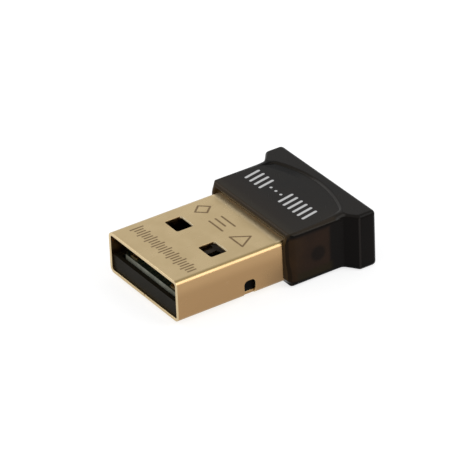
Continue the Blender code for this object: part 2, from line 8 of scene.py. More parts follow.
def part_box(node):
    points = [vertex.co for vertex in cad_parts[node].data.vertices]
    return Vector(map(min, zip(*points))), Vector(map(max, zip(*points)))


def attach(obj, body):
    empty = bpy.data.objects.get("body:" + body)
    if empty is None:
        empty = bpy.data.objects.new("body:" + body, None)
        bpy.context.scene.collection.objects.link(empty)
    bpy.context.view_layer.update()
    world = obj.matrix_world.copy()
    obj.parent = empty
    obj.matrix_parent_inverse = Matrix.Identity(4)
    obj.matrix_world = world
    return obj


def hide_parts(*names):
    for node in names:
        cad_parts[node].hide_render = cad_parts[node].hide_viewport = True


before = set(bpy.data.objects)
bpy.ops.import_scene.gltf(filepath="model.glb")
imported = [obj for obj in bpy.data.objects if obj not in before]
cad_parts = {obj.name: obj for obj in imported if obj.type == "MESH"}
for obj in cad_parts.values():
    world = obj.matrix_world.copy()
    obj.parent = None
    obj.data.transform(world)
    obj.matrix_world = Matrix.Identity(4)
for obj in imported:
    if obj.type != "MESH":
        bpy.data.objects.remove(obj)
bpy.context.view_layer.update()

MM = 0.001
SHELL_LOW, SHELL_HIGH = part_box("usb_shell")

# Places are in millimetres in the plug's own frame: x across, y back from the mouth, z up from the underside
PLUG_ORIGIN = Vector((0, SHELL_LOW.y, SHELL_LOW.z))
SHELL_HALF_WIDTH = SHELL_HIGH.x / MM
SHELL_TOP = (SHELL_HIGH.z - SHELL_LOW.z) / MM
SHELL_END = (SHELL_HIGH.y - SHELL_LOW.y) / MM
PLUG_LENGTH = 12.05
MERGE_DISTANCE = 0.001

BODY_TOP = 5.42
BODY_BOTTOM = -0.37

# The housing's front: its outline goes from the body's to the mouth's, as half width, bottom, top and corner radius
BODY_OUTLINE = (6.75, BODY_BOTTOM, BODY_TOP, 0.42)
MOUTH_PLAY = 0.02
MOUTH_OUTLINE = (SHELL_HALF_WIDTH + MOUTH_PLAY, -MOUTH_PLAY, SHELL_TOP + MOUTH_PLAY, 0.62)
FRONT_CUT = 13.6
FRONT_LEVEL = 11.94
SIDE_ROUNDING, TOP_ROUNDING, BOTTOM_ROUNDING = 0.85, 0.35, 0.2
FRONT_STEPS = 8
MOUTH_DEPTH = 0.5
# How far the front leans back, and the levels at which that begins and ends. Over the shell, inside the hollow's
# border, it leans back lower down and comes forward again as a brow
LOW_LEAN, LOW_LEAN_FROM, LOW_LEAN_TO = 0.46, 0.8, -0.2
HIGH_LEAN, HIGH_LEAN_FROM, HIGH_LEAN_TO = 0.62, 3.7, 4.5
BROW, BROW_FROM, BROW_TO = 0.30, 4.6, 5.3
HOLLOW_FROM, HOLLOW_TO = 5.45, 6.05
# What counts as the outer rim where the front is cut: beyond the shell's side, or near the body's top or bottom
OUTER_RIM_REACH, OUTER_RIM_INSET = 0.3, 0.15

LIP_FILLET, LIP_FILLET_STEPS, LIP_CREASE_ANGLE = 0.05, 3, 30
LIP_REACH, LIP_START = 5.8, 18.3
LEVEL_TOLERANCE = 0.01
LIP_END_X, LIP_END_Y, LIP_END_Z = (5.95, 6.9), (18.1, 19.3), (-0.2, 5.25)
LIP_END_EVENING = 16
SHOULDER_SHIFT, SHOULDER_FROM, SHOULDER_TO, SHOULDER_END = 0.22, 18.6, 19.7, 20.5
FLARE_INSIDE = 6.5

# The camera: its angles in degrees, its distance in metres, its lens and sensor in millimetres
CAMERA_AZIMUTH = 57.42
CAMERA_ELEVATION = 31.12
CAMERA_ROLL = -2.42
CAMERA_DISTANCE = 0.389
CAMERA_AIM = Vector((-0.91, 0.60, 2.49)) * MM
CAMERA_LENS = 305.3
SENSOR_WIDTH = 36
CLIP_START, CLIP_END = 0.01, 10


# Node helpers

def feed(tree, socket, value):
    """Links a socket to another socket, or sets its value."""
    if isinstance(value, bpy.types.NodeSocket):
        tree.links.new(value, socket)
    else:
        socket.default_value = value


def add_node(tree, kind, inputs, **settings):
    """A node with its settings, and with its inputs set or linked."""
    made = tree.nodes.new(kind)
    for name, value in settings.items():
        setattr(made, name, value)
    for key, value in inputs.items():
        feed(tree, made.inputs[key], value)
    return made


def calc(tree, operation, first, second=0.0, clamp=False):
    inputs = {0: first, 1: second}
    return add_node(tree, "ShaderNodeMath", inputs, operation=operation, use_clamp=clamp).outputs[0]


def absolute(tree, value):
    return calc(tree, "ABSOLUTE", value)


def vector_calc(tree, operation, first, second=(0, 0, 0)):
    made = add_node(tree, "ShaderNodeVectorMath", {0: first, 1: second}, operation=operation)
    return made.outputs["Value" if operation in ("LENGTH", "DOT_PRODUCT") else "Vector"]


def scaled(tree, vector, factor):
    inputs = {0: vector, "Scale": factor}
    return add_node(tree, "ShaderNodeVectorMath", inputs, operation="SCALE").outputs["Vector"]


def fade(tree, value, start, end, low=0.0, high=1.0):
    """Goes smoothly from low at start to high at end."""
    inputs = {"Value": value, "From Min": start, "From Max": end, "To Min": low, "To Max": high}
    made = add_node(tree, "ShaderNodeMapRange", inputs, interpolation_type="SMOOTHSTEP")
    return made.outputs["Result"]


def fade_out(tree, value, start, end):
    """Goes smoothly from 1 at start to 0 at end."""
    return fade(tree, value, start, end, 1.0, 0.0)


def tint(tree, factor, first, second):
    """Mixes two colours."""
    inputs = {0: factor, 6: full(first), 7: full(second)}
    return add_node(tree, "ShaderNodeMix", inputs, data_type="RGBA").outputs[2]


def full(colour):
    """A colour with its alpha, or the socket that gives one."""
    return colour if isinstance(colour, bpy.types.NodeSocket) else (*colour, 1)


def parts_of(tree, vector):
    """The X, Y and Z of a vector."""
    return add_node(tree, "ShaderNodeSeparateXYZ", {0: vector}).outputs


def noise(tree, vector, scale, detail, roughness=0.5):
    inputs = {"Vector": vector, "Scale": scale, "Detail": detail, "Roughness": roughness}
    return add_node(tree, "ShaderNodeTexNoise", inputs).outputs["Fac"]


def stretch(tree, vector, scale):
    """A vector scaled along each axis."""
    return add_node(tree, "ShaderNodeMapping", {"Vector": vector, "Scale": scale}).outputs["Vector"]


def most(tree, masks):
    """The highest of several masks at each place."""
    highest = masks[0]
    for mask in masks[1:]:
        highest = calc(tree, "MAXIMUM", highest, mask)
    return highest


def times(tree, *values):
    """The product of several masks or numbers."""
    product = values[0]
    for value in values[1:]:
        product = calc(tree, "MULTIPLY", product, value)
    return product


# Shared effects

SHORT_TICK_LESS = 0.34
SCRATCH_THINNESS = (1.0, 26.0, 9.0)


def new_group(name, inputs, outputs):
    """A node group with named sockets, what it is given and what it puts out."""
    group = bpy.data.node_groups.new(name, "ShaderNodeTree")
    for in_out, sockets in (("INPUT", inputs), ("OUTPUT", outputs)):
        for label, kind in sockets:
            group.interface.new_socket(name=label, in_out=in_out, socket_type="NodeSocket" + kind)
    given = group.nodes.new("NodeGroupInput").outputs
    result = group.nodes.new("NodeGroupOutput").inputs
    return group, given, result


def feed_mask(group, given, result, distance):
    """Puts out 1 where the distance past the shape's outline is below 0, with a soft border."""
    half = calc(group, "MULTIPLY", given["Softness"], 0.5)
    low = calc(group, "MULTIPLY", half, -1.0)
    feed(group, result["Mask"], fade_out(group, distance, low, half))


def make_box_mask_group():
    """1 inside a box, 0 outside, with a soft border."""
    inputs = [("Vector", "Vector"), ("Centre", "Vector"), ("Half Size", "Vector"), ("Softness", "Float")]
    group, given, result = new_group("box mask", inputs, [("Mask", "Float")])
    from_centre = vector_calc(group, "SUBTRACT", given["Vector"], given["Centre"])
    beyond = vector_calc(group, "SUBTRACT", vector_calc(group, "ABSOLUTE", from_centre), given["Half Size"])
    farthest = most(group, list(parts_of(group, beyond)))
    feed_mask(group, given, result, farthest)
    return group


def make_stroke_group():
    """1 on a straight printed stroke with round ends, seen along z."""
    inputs = [
        ("Vector", "Vector"), ("Start", "Vector"), ("End", "Vector"),
        ("Half Width", "Float"), ("Softness", "Float"),
    ]
    group, given, result = new_group("stroke", inputs, [("Mask", "Float")])
    flat = vector_calc(group, "MULTIPLY", given["Vector"], (1, 1, 0))
    from_start = vector_calc(group, "SUBTRACT", flat, given["Start"])
    along = vector_calc(group, "SUBTRACT", given["End"], given["Start"])
    reach = vector_calc(group, "DOT_PRODUCT", from_start, along)
    share = calc(group, "DIVIDE", reach, vector_calc(group, "DOT_PRODUCT", along, along), clamp=True)
    nearest = scaled(group, along, share)
    distance = vector_calc(group, "LENGTH", vector_calc(group, "SUBTRACT", from_start, nearest))
    beyond = calc(group, "SUBTRACT", distance, given["Half Width"])
    feed_mask(group, given, result, beyond)
    return group


def make_tick_row_group():
    """A row of ticks across x, every third one longer."""
    inputs = [
        ("Vector", "Vector"), ("Left", "Float"), ("Right", "Float"), ("Pitch", "Float"),
        ("Middle", "Float"), ("Half Length", "Float"), ("Half Width", "Float"), ("Softness", "Float"),
    ]
    group, given, result = new_group("tick row", inputs, [("Mask", "Float")])
    along_row, across_row, _ = parts_of(group, given["Vector"])
    steps = calc(group, "DIVIDE", calc(group, "SUBTRACT", along_row, given["Left"]), given["Pitch"])
    place = calc(group, "SUBTRACT", calc(group, "FRACT", steps), 0.5)
    across = times(group, absolute(group, place), given["Pitch"])
    third = calc(group, "FRACT", calc(group, "DIVIDE", calc(group, "FLOOR", steps), 3.0))
    share = calc(group, "SUBTRACT", 1.0, times(group, calc(group, "GREATER_THAN", third, 0.2), SHORT_TICK_LESS))
    length = times(group, given["Half Length"], share)
    along = absolute(group, calc(group, "SUBTRACT", across_row, given["Middle"]))
    beyond_side = calc(group, "SUBTRACT", across, given["Half Width"])
    beyond_end = calc(group, "SUBTRACT", along, length)
    beyond_left = calc(group, "SUBTRACT", given["Left"], along_row)
    beyond_right = calc(group, "SUBTRACT", along_row, given["Right"])
    farthest = most(group, [beyond_side, beyond_end, beyond_left, beyond_right])
    feed_mask(group, given, result, farthest)
    return group


def make_grain_group():
    """The fine height of a moulded or plated surface, and the clouds in its gloss."""
    inputs = [("Vector", "Vector"), ("Grain Size", "Float"), ("Cloud Size", "Float")]
    group, given, result = new_group("surface grain", inputs, [("Height", "Float"), ("Clouds", "Float")])
    fine = noise(group, given["Vector"], calc(group, "DIVIDE", 1.0, given["Grain Size"]), 3.0, 0.6)
    clouds = noise(group, given["Vector"], calc(group, "DIVIDE", 1.0, given["Cloud Size"]), 3.0, 0.55)
    feed(group, result["Height"], fine)
    feed(group, result["Clouds"], fade(group, clouds, 0.3, 0.7))
    return group


def make_wear_group():
    """Thin scratches and rubbed spots from handling, in the share of the surface that Amount gives."""
    inputs = [("Vector", "Vector"), ("Scratch Length", "Float"), ("Turn", "Float"), ("Amount", "Float")]
    group, given, result = new_group("handling wear", inputs, [("Scratches", "Float"), ("Rubbed", "Float")])
    turned = add_node(
        group, "ShaderNodeVectorRotate", {"Vector": given["Vector"], "Angle": given["Turn"]}, rotation_type="Z_AXIS"
    ).outputs["Vector"]
    sized = scaled(group, turned, calc(group, "DIVIDE", 1.0, given["Scratch Length"]))
    thin = vector_calc(group, "MULTIPLY", sized, SCRATCH_THINNESS)
    lines = noise(group, thin, 1.0, 1.0, 0.4)
    where = noise(group, given["Vector"], calc(group, "DIVIDE", 0.6, given["Scratch Length"]), 1.0)
    start = calc(group, "SUBTRACT", 0.76, times(group, given["Amount"], 0.12))
    scratches = fade(group, lines, start, calc(group, "ADD", start, 0.04))
    patches = fade(group, where, 0.45, 0.6)
    feed(group, result["Scratches"], times(group, scratches, patches))
    spots = noise(group, given["Vector"], calc(group, "DIVIDE", 1.6, given["Scratch Length"]), 4.0, 0.65)
    rubbed_from = calc(group, "SUBTRACT", 0.74, times(group, given["Amount"], 0.12))
    feed(group, result["Rubbed"], fade(group, spots, rubbed_from, calc(group, "ADD", rubbed_from, 0.12)))
    return group


BOX_MASK = make_box_mask_group()
STROKE = make_stroke_group()
TICK_ROW = make_tick_row_group()
GRAIN = make_grain_group()
WEAR = make_wear_group()


def place_group(tree, group, inputs):
    """The outputs of a shared effect that is placed in a material with its own values."""
    return add_node(tree, "ShaderNodeGroup", inputs, node_tree=group).outputs


def box_mask(tree, vector, low, high, softness):
    """1 between two corners."""
    centre = tuple((a + b) / 2 for a, b in zip(low, high))
    half = tuple((b - a) / 2 for a, b in zip(low, high))
    inputs = {"Vector": vector, "Centre": centre, "Half Size": half, "Softness": softness}
    return place_group(tree, BOX_MASK, inputs)["Mask"]


def strokes(tree, vector, lines, half_width, softness):
    """The mask of several strokes, each given by its two ends."""
    masks = []
    for start, end in lines:
        inputs = {
            "Vector": vector, "Start": (*start, 0), "End": (*end, 0),
            "Half Width": half_width, "Softness": softness,
        }
        masks.append(place_group(tree, STROKE, inputs)["Mask"])
    return most(tree, masks)


# Materials

def begin_material(name):
    """A material, its shader, and the place on the part in millimetres in the plug's frame."""
    material = bpy.data.materials.new(name)
    material.use_nodes = True
    tree = material.node_tree
    shader = tree.nodes["Principled BSDF"]
    coordinates = tree.nodes.new("ShaderNodeTexCoord").outputs["Object"]
    inputs = {"Vector": coordinates, "Location": tuple(-PLUG_ORIGIN / MM), "Scale": (1 / MM,) * 3}
    place = add_node(tree, "ShaderNodeMapping", inputs).outputs["Vector"]
    return material, tree, shader, place


def facing(tree):
    """The direction that the surface faces, as x, y and z."""
    geometry = tree.nodes.new("ShaderNodeNewGeometry")
    return parts_of(tree, geometry.outputs["Normal"])


def set_bump(tree, shader, height, depth):
    """Raises the surface by a height times a depth in millimetres."""
    bump = add_node(tree, "ShaderNodeBump", {"Height": height, "Distance": depth * MM})
    tree.links.new(bump.outputs["Normal"], shader.inputs["Normal"])


def set_shader(tree, shader, **inputs):
    """Sets or links the shader's inputs."""
    names = {
        "colour": "Base Color", "roughness": "Roughness", "metallic": "Metallic", "specular": "Specular IOR Level",
    }
    for key, value in inputs.items():
        feed(tree, shader.inputs[names[key]], full(value) if key == "colour" else value)


def colour_of(shader):
    """The socket that gives the shader its colour."""
    return shader.inputs["Base Color"].links[0].from_socket


# A face whose direction's z is below the first doesn't count as a level top, above the second it fully does
FACES_UP = (0.9, 0.98)
LINE_SOFTNESS = 0.05

GOLD = (0.530, 0.404, 0.220)
GOLD_SHADE = (0.460, 0.342, 0.172)
GOLD_SIDE = (0.363, 0.224, 0.106)
GOLD_SIDE_HIGH_LIT = (0.440, 0.278, 0.135)
GOLD_SIDE_REAR_SHADE = (0.245, 0.152, 0.074)
GOLD_BEND_SHADE = (0.330, 0.225, 0.080)
GOLD_BARE_AND_HIGHLIGHT = (0.640, 0.500, 0.290)
GOLD_BY_HOUSING_LIGHT = (0.940, 0.760, 0.470)
GOLD_WINDOW_HIGHLIGHT = (1.000, 0.860, 0.580)
ETCHED = (0.205, 0.135, 0.068)
ETCH_LEVEL = 4.2
TICK_LEFT, TICK_RIGHT = -4.92, 5.16
TICK_MIDDLE, TICK_HALF_LENGTH = 2.4, 0.78
TICK_PITCH, TICK_HALF_WIDTH = 0.42, 0.1
ETCH_LINES = [
    ((-4.65, 9.42), (-3.85, 10.30)), ((-3.85, 10.30), (-3.05, 9.42)),
    ((-3.05, 9.42), (-3.85, 8.54)), ((-3.85, 8.54), (-4.65, 9.42)),
    ((-1.60, 8.70), (0.70, 8.70)), ((-1.60, 9.42), (0.10, 9.42)), ((-1.60, 10.14), (0.70, 10.14)),
    ((2.05, 8.62), (3.15, 10.32)), ((3.15, 10.32), (4.25, 8.62)), ((4.25, 8.62), (2.05, 8.62)),
]
ETCH_HALF_WIDTH = 0.105
GOLD_SIDE_RISE = (2.6, 3.9)
GOLD_REAR, GOLD_REAR_LOW = (8.5, 12.2), (0.8, 3.4)
GOLD_NEAR_HOUSING, GOLD_DULL_FROM = (11.4, 12.1), (11.55, 11.85)
GOLD_DULL_SHARE = 0.17
SHEET_SKIN = 0.05
WINDOW_LOW, WINDOW_HIGH = (-4.5, 4.9, SHELL_TOP - 0.2), (4.5, 7.4, SHELL_TOP + 0.1)


def make_gold_steel():
    """Satin gold plating with a fine grain, cut edges tinted as bare metal and painted highlight, painted light and
    shade on the sides and bends, and etched marks.
    """
    material, tree, shader, place = begin_material("gold plated steel")
    _, y, z = parts_of(tree, place)
    face_x, face_y, face_z = facing(tree)
    level = fade(tree, face_z, *FACES_UP)
    grain = place_group(tree, GRAIN, {"Vector": place, "Grain Size": 0.07, "Cloud Size": 2.6})
    wear = place_group(tree, WEAR, {"Vector": place, "Scratch Length": 2.4, "Turn": 1.35, "Amount": 0.6})
    colour = tint(tree, times(tree, grain["Clouds"], 0.45), GOLD, GOLD_SHADE)
    # The sides are painted darker than the top, lighter high up and darker low towards the rear: painted shade and
    # light from what the sides mirror.
    to_side = fade(tree, absolute(tree, face_x), 0.5, 0.98)
    side_shade_colour = tint(tree, fade(tree, z, *GOLD_SIDE_RISE), GOLD_SIDE, GOLD_SIDE_HIGH_LIT)
    rear_low_shade = times(tree, fade(tree, y, *GOLD_REAR), fade_out(tree, z, *GOLD_REAR_LOW))
    side_shade_colour = tint(tree, rear_low_shade, side_shade_colour, GOLD_SIDE_REAR_SHADE)
    # Near the housing the level top is painted lighter: painted light against the housing's shade and dark
    # reflection.
    by_housing_light = times(tree, fade(tree, y, *GOLD_NEAR_HOUSING), level)
    colour = tint(tree, by_housing_light, colour, GOLD_BY_HOUSING_LIGHT)
    colour = tint(tree, to_side, colour, side_shade_colour)
    # The upper part of each bend is painted darker: painted shade, a dark reflection painted in.
    sideways = absolute(tree, face_x)
    bend_shade = times(tree, fade(tree, sideways, 0.25, 0.4), fade_out(tree, sideways, 0.55, 0.72))
    bend_shade = times(tree, bend_shade, fade(tree, face_z, 0.0, 0.2))
    colour = tint(tree, times(tree, bend_shade, 0.6), colour, GOLD_BEND_SHADE)

    # The sheet's cut edges are tinted pale, lighter higher up the mouth: partly bare metal, partly a painted
    # highlight.
    inner = (SHELL_HALF_WIDTH - SHEET_SKIN, SHELL_END + 1, SHELL_TOP - SHEET_SKIN)
    skin = calc(tree, "SUBTRACT", 1.0, box_mask(tree, place, (-inner[0], -1, SHEET_SKIN), inner, 0.04))
    at_mouth = fade_out(tree, y, 0.02, 0.07)
    across_sheet = fade(tree, absolute(tree, face_y), 0.25, 0.6)
    cut = most(tree, [times(tree, at_mouth, fade(tree, z, 0.1, 1.5, 0.4, 1.0)), times(tree, skin, across_sheet)])
    colour = tint(tree, times(tree, cut, 0.9), colour, GOLD_BARE_AND_HIGHLIGHT)
    # The window edges that face the front are painted pale cream and made unmetallic: a painted highlight.
    window = box_mask(tree, place, WINDOW_LOW, WINDOW_HIGH, 0.04)
    window_edge_highlight = times(tree, window, fade_out(tree, face_y, -0.5, -0.15))
    colour = tint(tree, window_edge_highlight, colour, GOLD_WINDOW_HIGHLIGHT)
    colour = tint(tree, times(tree, wear["Rubbed"], 0.25), colour, GOLD_BARE_AND_HIGHLIGHT)

    ticks = place_group(tree, TICK_ROW, {
        "Vector": place, "Left": TICK_LEFT, "Right": TICK_RIGHT, "Pitch": TICK_PITCH,
        "Middle": TICK_MIDDLE, "Half Length": TICK_HALF_LENGTH, "Half Width": TICK_HALF_WIDTH,
        "Softness": LINE_SOFTNESS,
    })["Mask"]
    signs = strokes(tree, place, ETCH_LINES, ETCH_HALF_WIDTH, LINE_SOFTNESS)
    on_top = times(tree, fade(tree, z, ETCH_LEVEL, ETCH_LEVEL + 0.1), level)
    etched = times(tree, most(tree, [ticks, signs]), on_top)
    uneven = fade(tree, noise(tree, place, 6.0, 3.0), 0.3, 0.65, 0.72, 1.0)
    colour = tint(tree, times(tree, etched, uneven), colour, ETCHED)

    roughness = calc(tree, "ADD", 0.27, times(tree, grain["Clouds"], 0.05))
    roughness = calc(tree, "ADD", roughness, times(tree, etched, 0.25))
    roughness = calc(tree, "SUBTRACT", roughness, times(tree, wear["Scratches"], 0.06), clamp=True)
    # Close to the housing the gold is a little duller, so that it mirrors less of the dark front
    dull = times(tree, fade(tree, y, *GOLD_DULL_FROM), level)
    metallic = calc(tree, "SUBTRACT", 1.0, most(tree, [window_edge_highlight, times(tree, dull, GOLD_DULL_SHARE)]))
    set_shader(tree, shader, colour=colour, roughness=roughness, metallic=metallic)
    height = calc(tree, "SUBTRACT", grain["Height"], times(tree, etched, 1.2))
    height = calc(tree, "SUBTRACT", height, times(tree, wear["Scratches"], 0.5))
    set_bump(tree, shader, height, 0.0025)
    return material


SMOKE_TOP = (0.0115, 0.0108, 0.0098)
SMOKE_TOP_WARM_GLOW = (0.0210, 0.0150, 0.0105)
SMOKE_SIDE_SHADE = (0.0045, 0.0030, 0.0022)
SMOKE_GLOW = (0.0300, 0.0150, 0.0085)
SMOKE_OLIVE_GLOW = (0.0210, 0.0150, 0.0050)
SMOKE_FRONT = (0.0700, 0.0400, 0.0140)
SMOKE_FRONT_HIGH = (0.0380, 0.0200, 0.0050)
SMOKE_TOP_FRONT_LIGHT = (0.0290, 0.0235, 0.0160)
SMOKE_TOP_LIGHT = (0.0190, 0.0160, 0.0125)
SMOKE_EDGE_HIGHLIGHT = (0.0330, 0.0260, 0.0190)
SMOKE_LIP_HIGHLIGHT = (0.0420, 0.0390, 0.0360)
SMOKE_SHOULDER_HIGHLIGHT = (0.0290, 0.0240, 0.0220)
SMOKE_BROW_GLOW = (0.0400, 0.0280, 0.0160)
SMOKE_CONTACT_GLOW = (0.1200, 0.0800, 0.0400)
SMOKE_CORNER_GLOW = (0.0230, 0.0110, 0.0020)
SMOKE_GLOW_FRONT = (0.0440, 0.0220, 0.0080)
SMOKE_PAINTED_SHADE = (0.0010, 0.0008, 0.0007)
SNAP_PLACE, SNAP_LEVEL, SNAP_SPOT = 15.6, 2.4, (0.55, 1.05)
LIP_CENTRE, LIP_RADIUS = (0, 7.092, 0), 13.058

# Pairs are the two ends of a fade. The front face, the upright corner and the side meet at half widths, which are
# measured as less by CORNER_DRIFT low down
FRONT_BORDER, CORNER_BORDER, SIDE_BORDER = (6.25, 6.33), (6.44, 6.52), (6.45, 6.53)
CORNER_DRIFT, CORNER_DRIFT_RISE = 0.1, (1.0, 2.7)
CORNER_TOP = (4.4, 4.9)
OVER_SHELL_BORDER, CONTACT_BORDER, CONTACT_RISE = (5.9, 6.1), (5.5, 5.8), 0.3
FRONT_WARMTH, FRONT_REACH = (0.6, 4.6), (0.5, 1.6)
FRONT_GLOW = (12.6, 14.6)
BEFORE_GRIP, LIP_ENDS = (17.5, 18.2), (17.5, 18.0)
PALE_CORNER_X, PALE_CORNER_Y = (2.5, 6.2), (17.5, 19.5)
LIP_SHADOW_START, LIP_SHADOW_END, LIP_SHADOW_X = (-0.95, -0.6), (-0.02, 0.08), (-3.4, -1.2)
LIP_SLOPE_REACH, LIP_LIGHT_X = (0.3, 0.6), (-1.6, 0.4)
LOW_RIM_SHADE = (0.3, 0.7)
SHOULDER_HIGHLIGHT_START = (18.8, 19.1)
TAIL_LOW, TAIL_HIGH = (-9, PLUG_LENGTH - 1, 0.1), (9, SHELL_END, SHELL_TOP + 0.4)
OLIVE_LOW, OLIVE_HIGH = (-9, 13.2, 0.0), (9, SHELL_END + 0.2, 0.9)

PRINT_WHITE = (0.62, 0.62, 0.62)
PRINT_HALF_WIDTH = 0.15
PRINT_LOW, PRINT_HIGH, PRINT_LEAN = 15.3, 17.0, -0.35
PRINT_PLACES = (-5.0, -4.2, -3.4, -2.6, 0.75, 1.55, 2.35, 3.15, 3.95, 4.75)
PRINT_DOTS = (-1.94, -1.10, -0.26)
PRINT_MIDDLE = 16.15
DOT_LENGTH = 0.01


def print_lines():
    """Plain slanted stripes in two groups, with three dots between them."""
    lines = [((x, PRINT_LOW), (x + PRINT_LEAN, PRINT_HIGH)) for x in PRINT_PLACES]
    return lines + [((x, PRINT_MIDDLE), (x + DOT_LENGTH, PRINT_MIDDLE)) for x in PRINT_DOTS]


def make_smoky_plastic():
    """Smoky plastic with painted light and shade, a painted glow for the metal inside seen brown through its walls,
    and white print on top.
    """
    material, tree, shader, place = begin_material("smoky plastic")
    x, y, z = parts_of(tree, place)
    face_x, face_y, face_z = facing(tree)
    sideways = absolute(tree, face_x)
    drift = fade(tree, z, *CORNER_DRIFT_RISE, -CORNER_DRIFT, 0.0)
    outwards = calc(tree, "ADD", absolute(tree, x), drift)
    upright = fade_out(tree, absolute(tree, face_z), 0.3, 0.6)
    side = most(tree, [
        fade(tree, sideways, 0.86, 0.97),
        times(tree, fade(tree, outwards, *SIDE_BORDER), upright, fade(tree, sideways, 0.5, 0.7)),
    ])
    top = fade(tree, face_z, 0.42, 0.72)
    level = fade(tree, face_z, *FACES_UP)
    behind_front = calc(tree, "SUBTRACT", y, PLUG_LENGTH)
    grain = place_group(tree, GRAIN, {"Vector": place, "Grain Size": 0.09, "Cloud Size": 2.2})
    wear = place_group(tree, WEAR, {"Vector": place, "Scratch Length": 2.8, "Turn": 0.5, "Amount": 0.5})

    # Warmer near the front: a painted glow of the gold below, with random warmer clouds.
    front_glow_and_clouds = most(tree, [
        times(tree, fade_out(tree, behind_front, *FRONT_WARMTH), 0.85),
        times(tree, grain["Clouds"], 0.25),
    ])
    top_colour = tint(tree, front_glow_and_clouds, SMOKE_TOP, SMOKE_TOP_WARM_GLOW)
    # Paler towards the right of the top: painted light.
    right_light = times(tree, fade(tree, x, *PALE_CORNER_X), fade_out(tree, y, *PALE_CORNER_Y), 0.8)
    top_colour = tint(tree, right_light, top_colour, SMOKE_TOP_LIGHT)
    # Paler where the top starts to round over towards the right side, before the grip: a painted highlight.
    edge_highlight = times(tree, fade(tree, face_x, 0.06, 0.2), fade_out(tree, y, *BEFORE_GRIP))
    top_colour = tint(tree, edge_highlight, top_colour, SMOKE_EDGE_HIGHLIGHT)
    from_lip_centre = vector_calc(tree, "SUBTRACT", vector_calc(tree, "MULTIPLY", place, (1, 1, 0)), LIP_CENTRE)
    to_lip = calc(tree, "SUBTRACT", vector_calc(tree, "LENGTH", from_lip_centre), LIP_RADIUS)
    before_lip = times(tree, fade(tree, to_lip, *LIP_SHADOW_START), fade_out(tree, to_lip, *LIP_SHADOW_END))
    lip_shadow = times(tree, before_lip, fade(tree, x, *LIP_SHADOW_X, 0.9, 0.0))
    top_colour = tint(tree, lip_shadow, top_colour, SMOKE_PAINTED_SHADE)
    # The lip's slope is painted paler, most to the right: a painted highlight.
    by_lip = fade_out(tree, absolute(tree, to_lip), *LIP_SLOPE_REACH)
    lip_slope = times(tree, fade_out(tree, face_z, 0.9, 0.985), by_lip)
    lip_highlight = tint(tree, fade(tree, x, *LIP_LIGHT_X), SMOKE_TOP_LIGHT, SMOKE_LIP_HIGHLIGHT)
    top_colour = tint(tree, lip_slope, top_colour, lip_highlight)
    lip_wall = times(tree, fade(tree, z, BODY_TOP - 0.03, BODY_TOP), fade_out(tree, face_y, -0.3, -0.1))
    top = most(tree, [top, times(tree, lip_wall, fade(tree, y, *LIP_ENDS))])
    # The top is painted lighter than the sides: painted light and shade.
    colour = tint(tree, top, SMOKE_SIDE_SHADE, top_colour)

    # The sides beside the shell's tail get a painted glow for the metal seen through them, less over the snap hole.
    tail = box_mask(tree, place, TAIL_LOW, TAIL_HIGH, 0.5)
    spot_place = vector_calc(tree, "MULTIPLY", place, (0, 1, 1))
    spot_offset = vector_calc(tree, "SUBTRACT", spot_place, (0, SNAP_PLACE, SNAP_LEVEL))
    spot = fade_out(tree, vector_calc(tree, "LENGTH", spot_offset), *SNAP_SPOT)
    patchy = fade(tree, noise(tree, place, 0.7, 2.0), 0.3, 0.7, 0.75, 1.0)
    glow = times(tree, tail, side, patchy, calc(tree, "SUBTRACT", 1.0, times(tree, spot, 0.75)))
    glow_colour = tint(tree, fade(tree, y, *FRONT_GLOW, 0.8, 0.0), SMOKE_GLOW, SMOKE_GLOW_FRONT)
    colour = tint(tree, glow, colour, glow_colour)
    # Low on the sides over the shell: a painted olive glow.
    low_glow_strip = box_mask(tree, place, OLIVE_LOW, OLIVE_HIGH, 0.7)
    colour = tint(tree, times(tree, low_glow_strip, side, 0.85), colour, SMOKE_OLIVE_GLOW)
    # Darker along the bottom rim: painted shade.
    low_rim_shade = fade_out(tree, calc(tree, "SUBTRACT", z, BODY_BOTTOM), *LOW_RIM_SHADE)
    colour = tint(tree, times(tree, low_rim_shade, 0.9), colour, SMOKE_PAINTED_SHADE)
    # A paler band on the grip's rounded shoulder: a painted highlight.
    shoulder = times(tree, fade(tree, sideways, 0.75, 0.87), fade_out(tree, face_y, -0.35, -0.08))
    shoulder = times(tree, shoulder, fade(tree, y, *SHOULDER_HIGHLIGHT_START))
    colour = tint(tree, times(tree, shoulder, 0.9), colour, SMOKE_SHOULDER_HIGHLIGHT)

    front_face = times(tree, fade_out(tree, face_y, -0.6, -0.3), fade_out(tree, outwards, *FRONT_BORDER))
    near_front = fade_out(tree, behind_front, *FRONT_REACH)
    above = fade(tree, z, SHELL_TOP - 0.6, SHELL_TOP + 0.2, 0.82, 1.0)
    not_low = fade(tree, z, BODY_BOTTOM + 0.2, 0.5)
    # The top near the front is painted lighter, and the front face warm brown, dimmer over the shell and brightest
    # where it meets the shell's top: a painted glow of the gold.
    colour = tint(tree, times(tree, near_front, top), colour, SMOKE_TOP_FRONT_LIGHT)
    colour = tint(tree, times(tree, front_face, above, not_low, near_front), colour, SMOKE_FRONT)
    over_metal = times(tree, fade(tree, z, SHELL_TOP - 0.3, SHELL_TOP), fade_out(tree, outwards, *OVER_SHELL_BORDER))
    colour = tint(tree, times(tree, front_face, over_metal, near_front, 0.9), colour, SMOKE_FRONT_HIGH)
    contact = fade_out(tree, z, SHELL_TOP, SHELL_TOP + CONTACT_RISE)
    contact = times(tree, contact, fade_out(tree, outwards, *CONTACT_BORDER))
    colour = tint(tree, times(tree, front_face, over_metal, near_front, contact), colour, SMOKE_CONTACT_GLOW)
